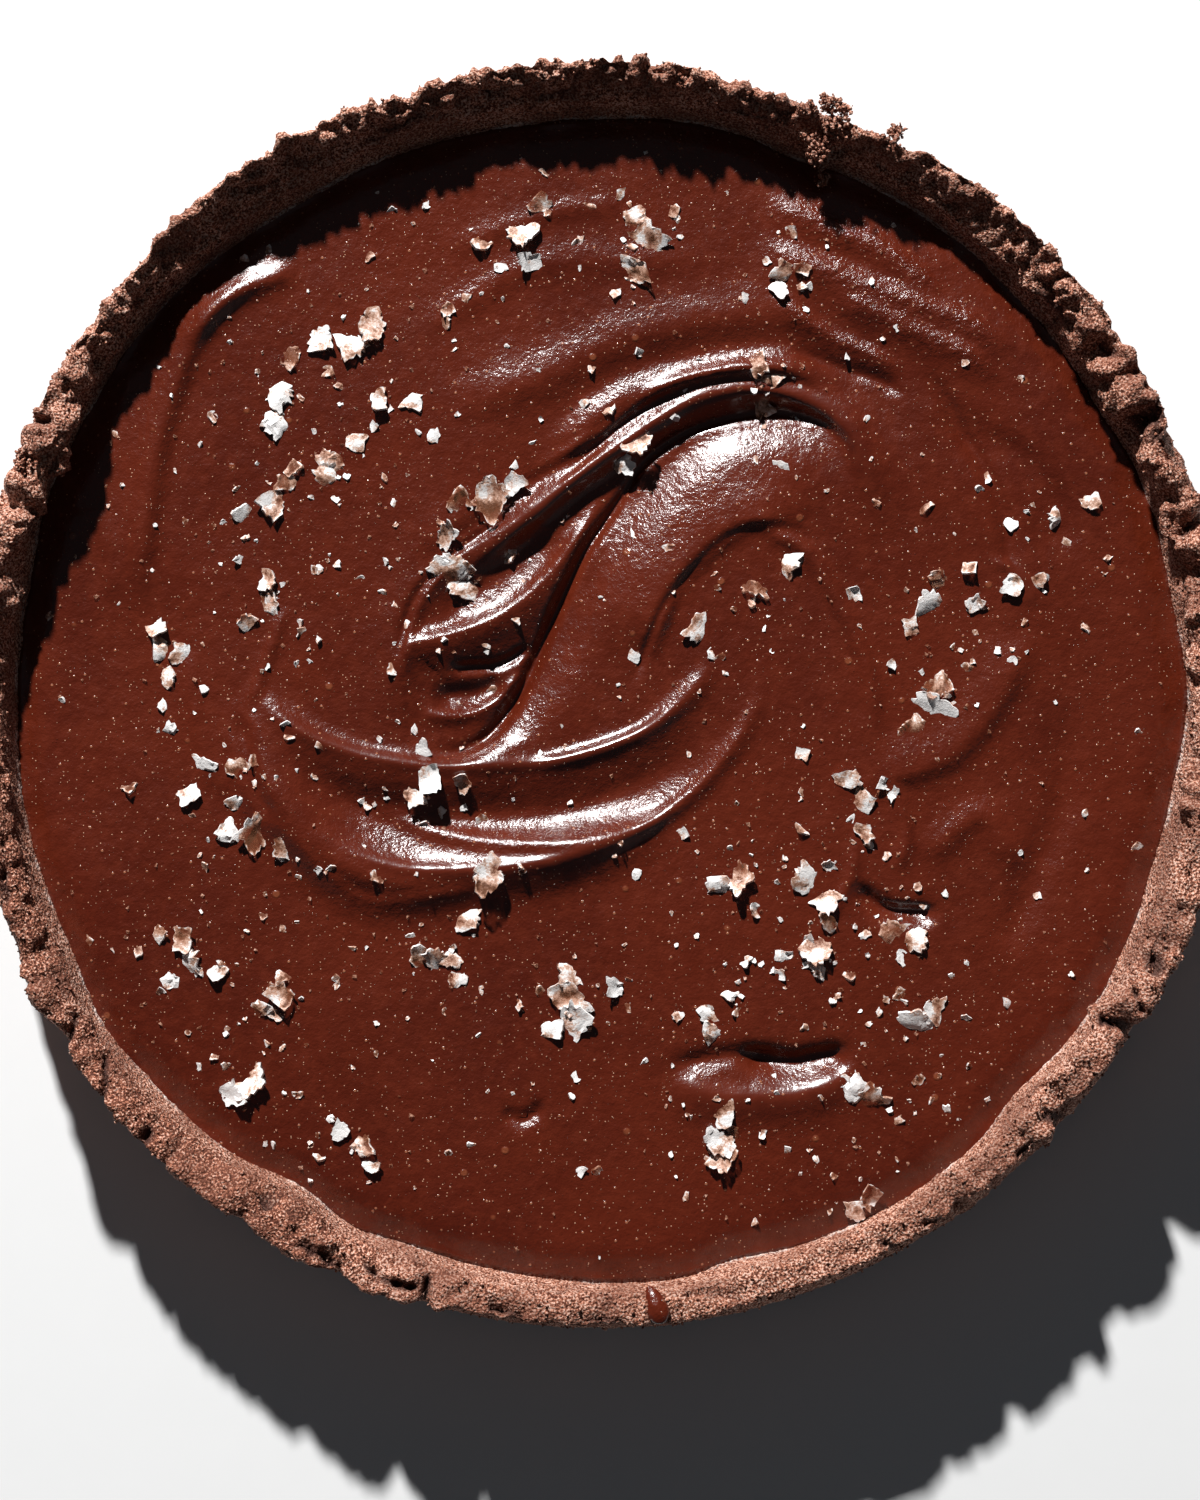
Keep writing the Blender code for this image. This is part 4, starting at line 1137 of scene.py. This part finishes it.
def makeDrop(finish):
    s = dropSettings
    bm = bmesh.new()
    bmesh.ops.create_icosphere(bm, subdivisions=4, radius=1)
    for corner in bm.verts:
        narrowed = 1 - s["taper"] * corner.co.y
        corner.co = Vector((corner.co.x * narrowed, corner.co.y, corner.co.z)) * Vector(s["size"])
        corner.co += corner.co.normalized() * s["unevenness"] * noiseAt(corner.co, 1.5 * mm, 2)
    angle = math.radians(s["angle"])
    place = (s["radius"] * math.cos(angle), s["radius"] * math.sin(angle), s["height"])
    turn = Matrix.Rotation(s["turn"], 4, "Z") @ Matrix.Rotation(s["tilt"], 4, "X")
    bmesh.ops.transform(bm, matrix=Matrix.Translation(place) @ turn, verts=bm.verts)
    newPiece("chocolateDrop", bm, finish)


makeDrop(darkGanache)
print("tart: drop placed")


# floor, lights and camera

stageSettings = {
    "floorColour": (0.78, 0.78, 0.775),
    "floorMottle": (0.80, 0.80, 0.795),
    "aim": (0.5 * mm, -10.9 * mm, 28 * mm),
    "cameraAt": (0.5 * mm, -55.3 * mm, 728 * mm),
    "focalPixels": 3886,
    "photoSize": (1200, 1500),
    "floorSize": 3,
    "sensorWidth": 36,
    "lights": {  # degrees round the tart, degrees up, distance in metres, power in watts, width in metres
        "key": (106, 33.5, 2.4, 124, 0.10),
        "leftFill": (215, 20, 1.35, 0.15, 1.0),
        "rightFill": (325, 20, 1.35, 0.15, 1.0),
    },
    "skyColour": (0.80, 0.88, 1.0, 1),
    "skyStrength": 0.038,
}


def makeFloor():
    bm = bmesh.new()
    bmesh.ops.create_grid(bm, x_segments=1, y_segments=1, size=stageSettings["floorSize"])
    f = Finish("paleFloor")
    mottle = f.noise(9 * mm, 3, 0.6)
    colour = f.blend(mottle, stageSettings["floorColour"], stageSettings["floorMottle"])
    mesh = meshFrom("floor", bm)
    mesh.materials.append(f.done(Base_Color=colour, Roughness=0.75))
    linkedObject("floor", mesh)


def aimObject(item, place, aim):
    item.location = place
    item.rotation_mode = "QUATERNION"
    item.rotation_quaternion = (Vector(aim) - Vector(place)).to_track_quat("-Z", "Y")


def makeLight(name, around, up, distance, power, size):
    turn = Euler((0, -math.radians(up), math.radians(around)))
    at = turn.to_matrix() @ Vector((distance, 0, 0))
    light = bpy.data.lights.new(name, "AREA")
    light.energy = power
    light.size = size
    aimObject(linkedObject(name, light), at, Vector())


def makeSky():
    world = bpy.data.worlds.new("studio")
    world.use_nodes = True
    background = world.node_tree.nodes["Background"]
    background.inputs["Color"].default_value = stageSettings["skyColour"]
    background.inputs["Strength"].default_value = stageSettings["skyStrength"]
    bpy.context.scene.world = world


def makeCamera():
    s = stageSettings
    camera = bpy.data.cameras.new("camera")
    camera.sensor_width = s["sensorWidth"]
    camera.lens = s["focalPixels"] * s["sensorWidth"] / max(s["photoSize"])
    camera.clip_start = 0.01
    item = linkedObject("camera", camera)
    aimObject(item, s["cameraAt"], s["aim"])
    bpy.context.scene.camera = item


makeFloor()
for lightName, lightSettings in stageSettings["lights"].items():
    makeLight(lightName, *lightSettings)
makeSky()
makeCamera()
bpy.context.scene.view_settings.view_transform = "Standard"
print("tart: stage set")
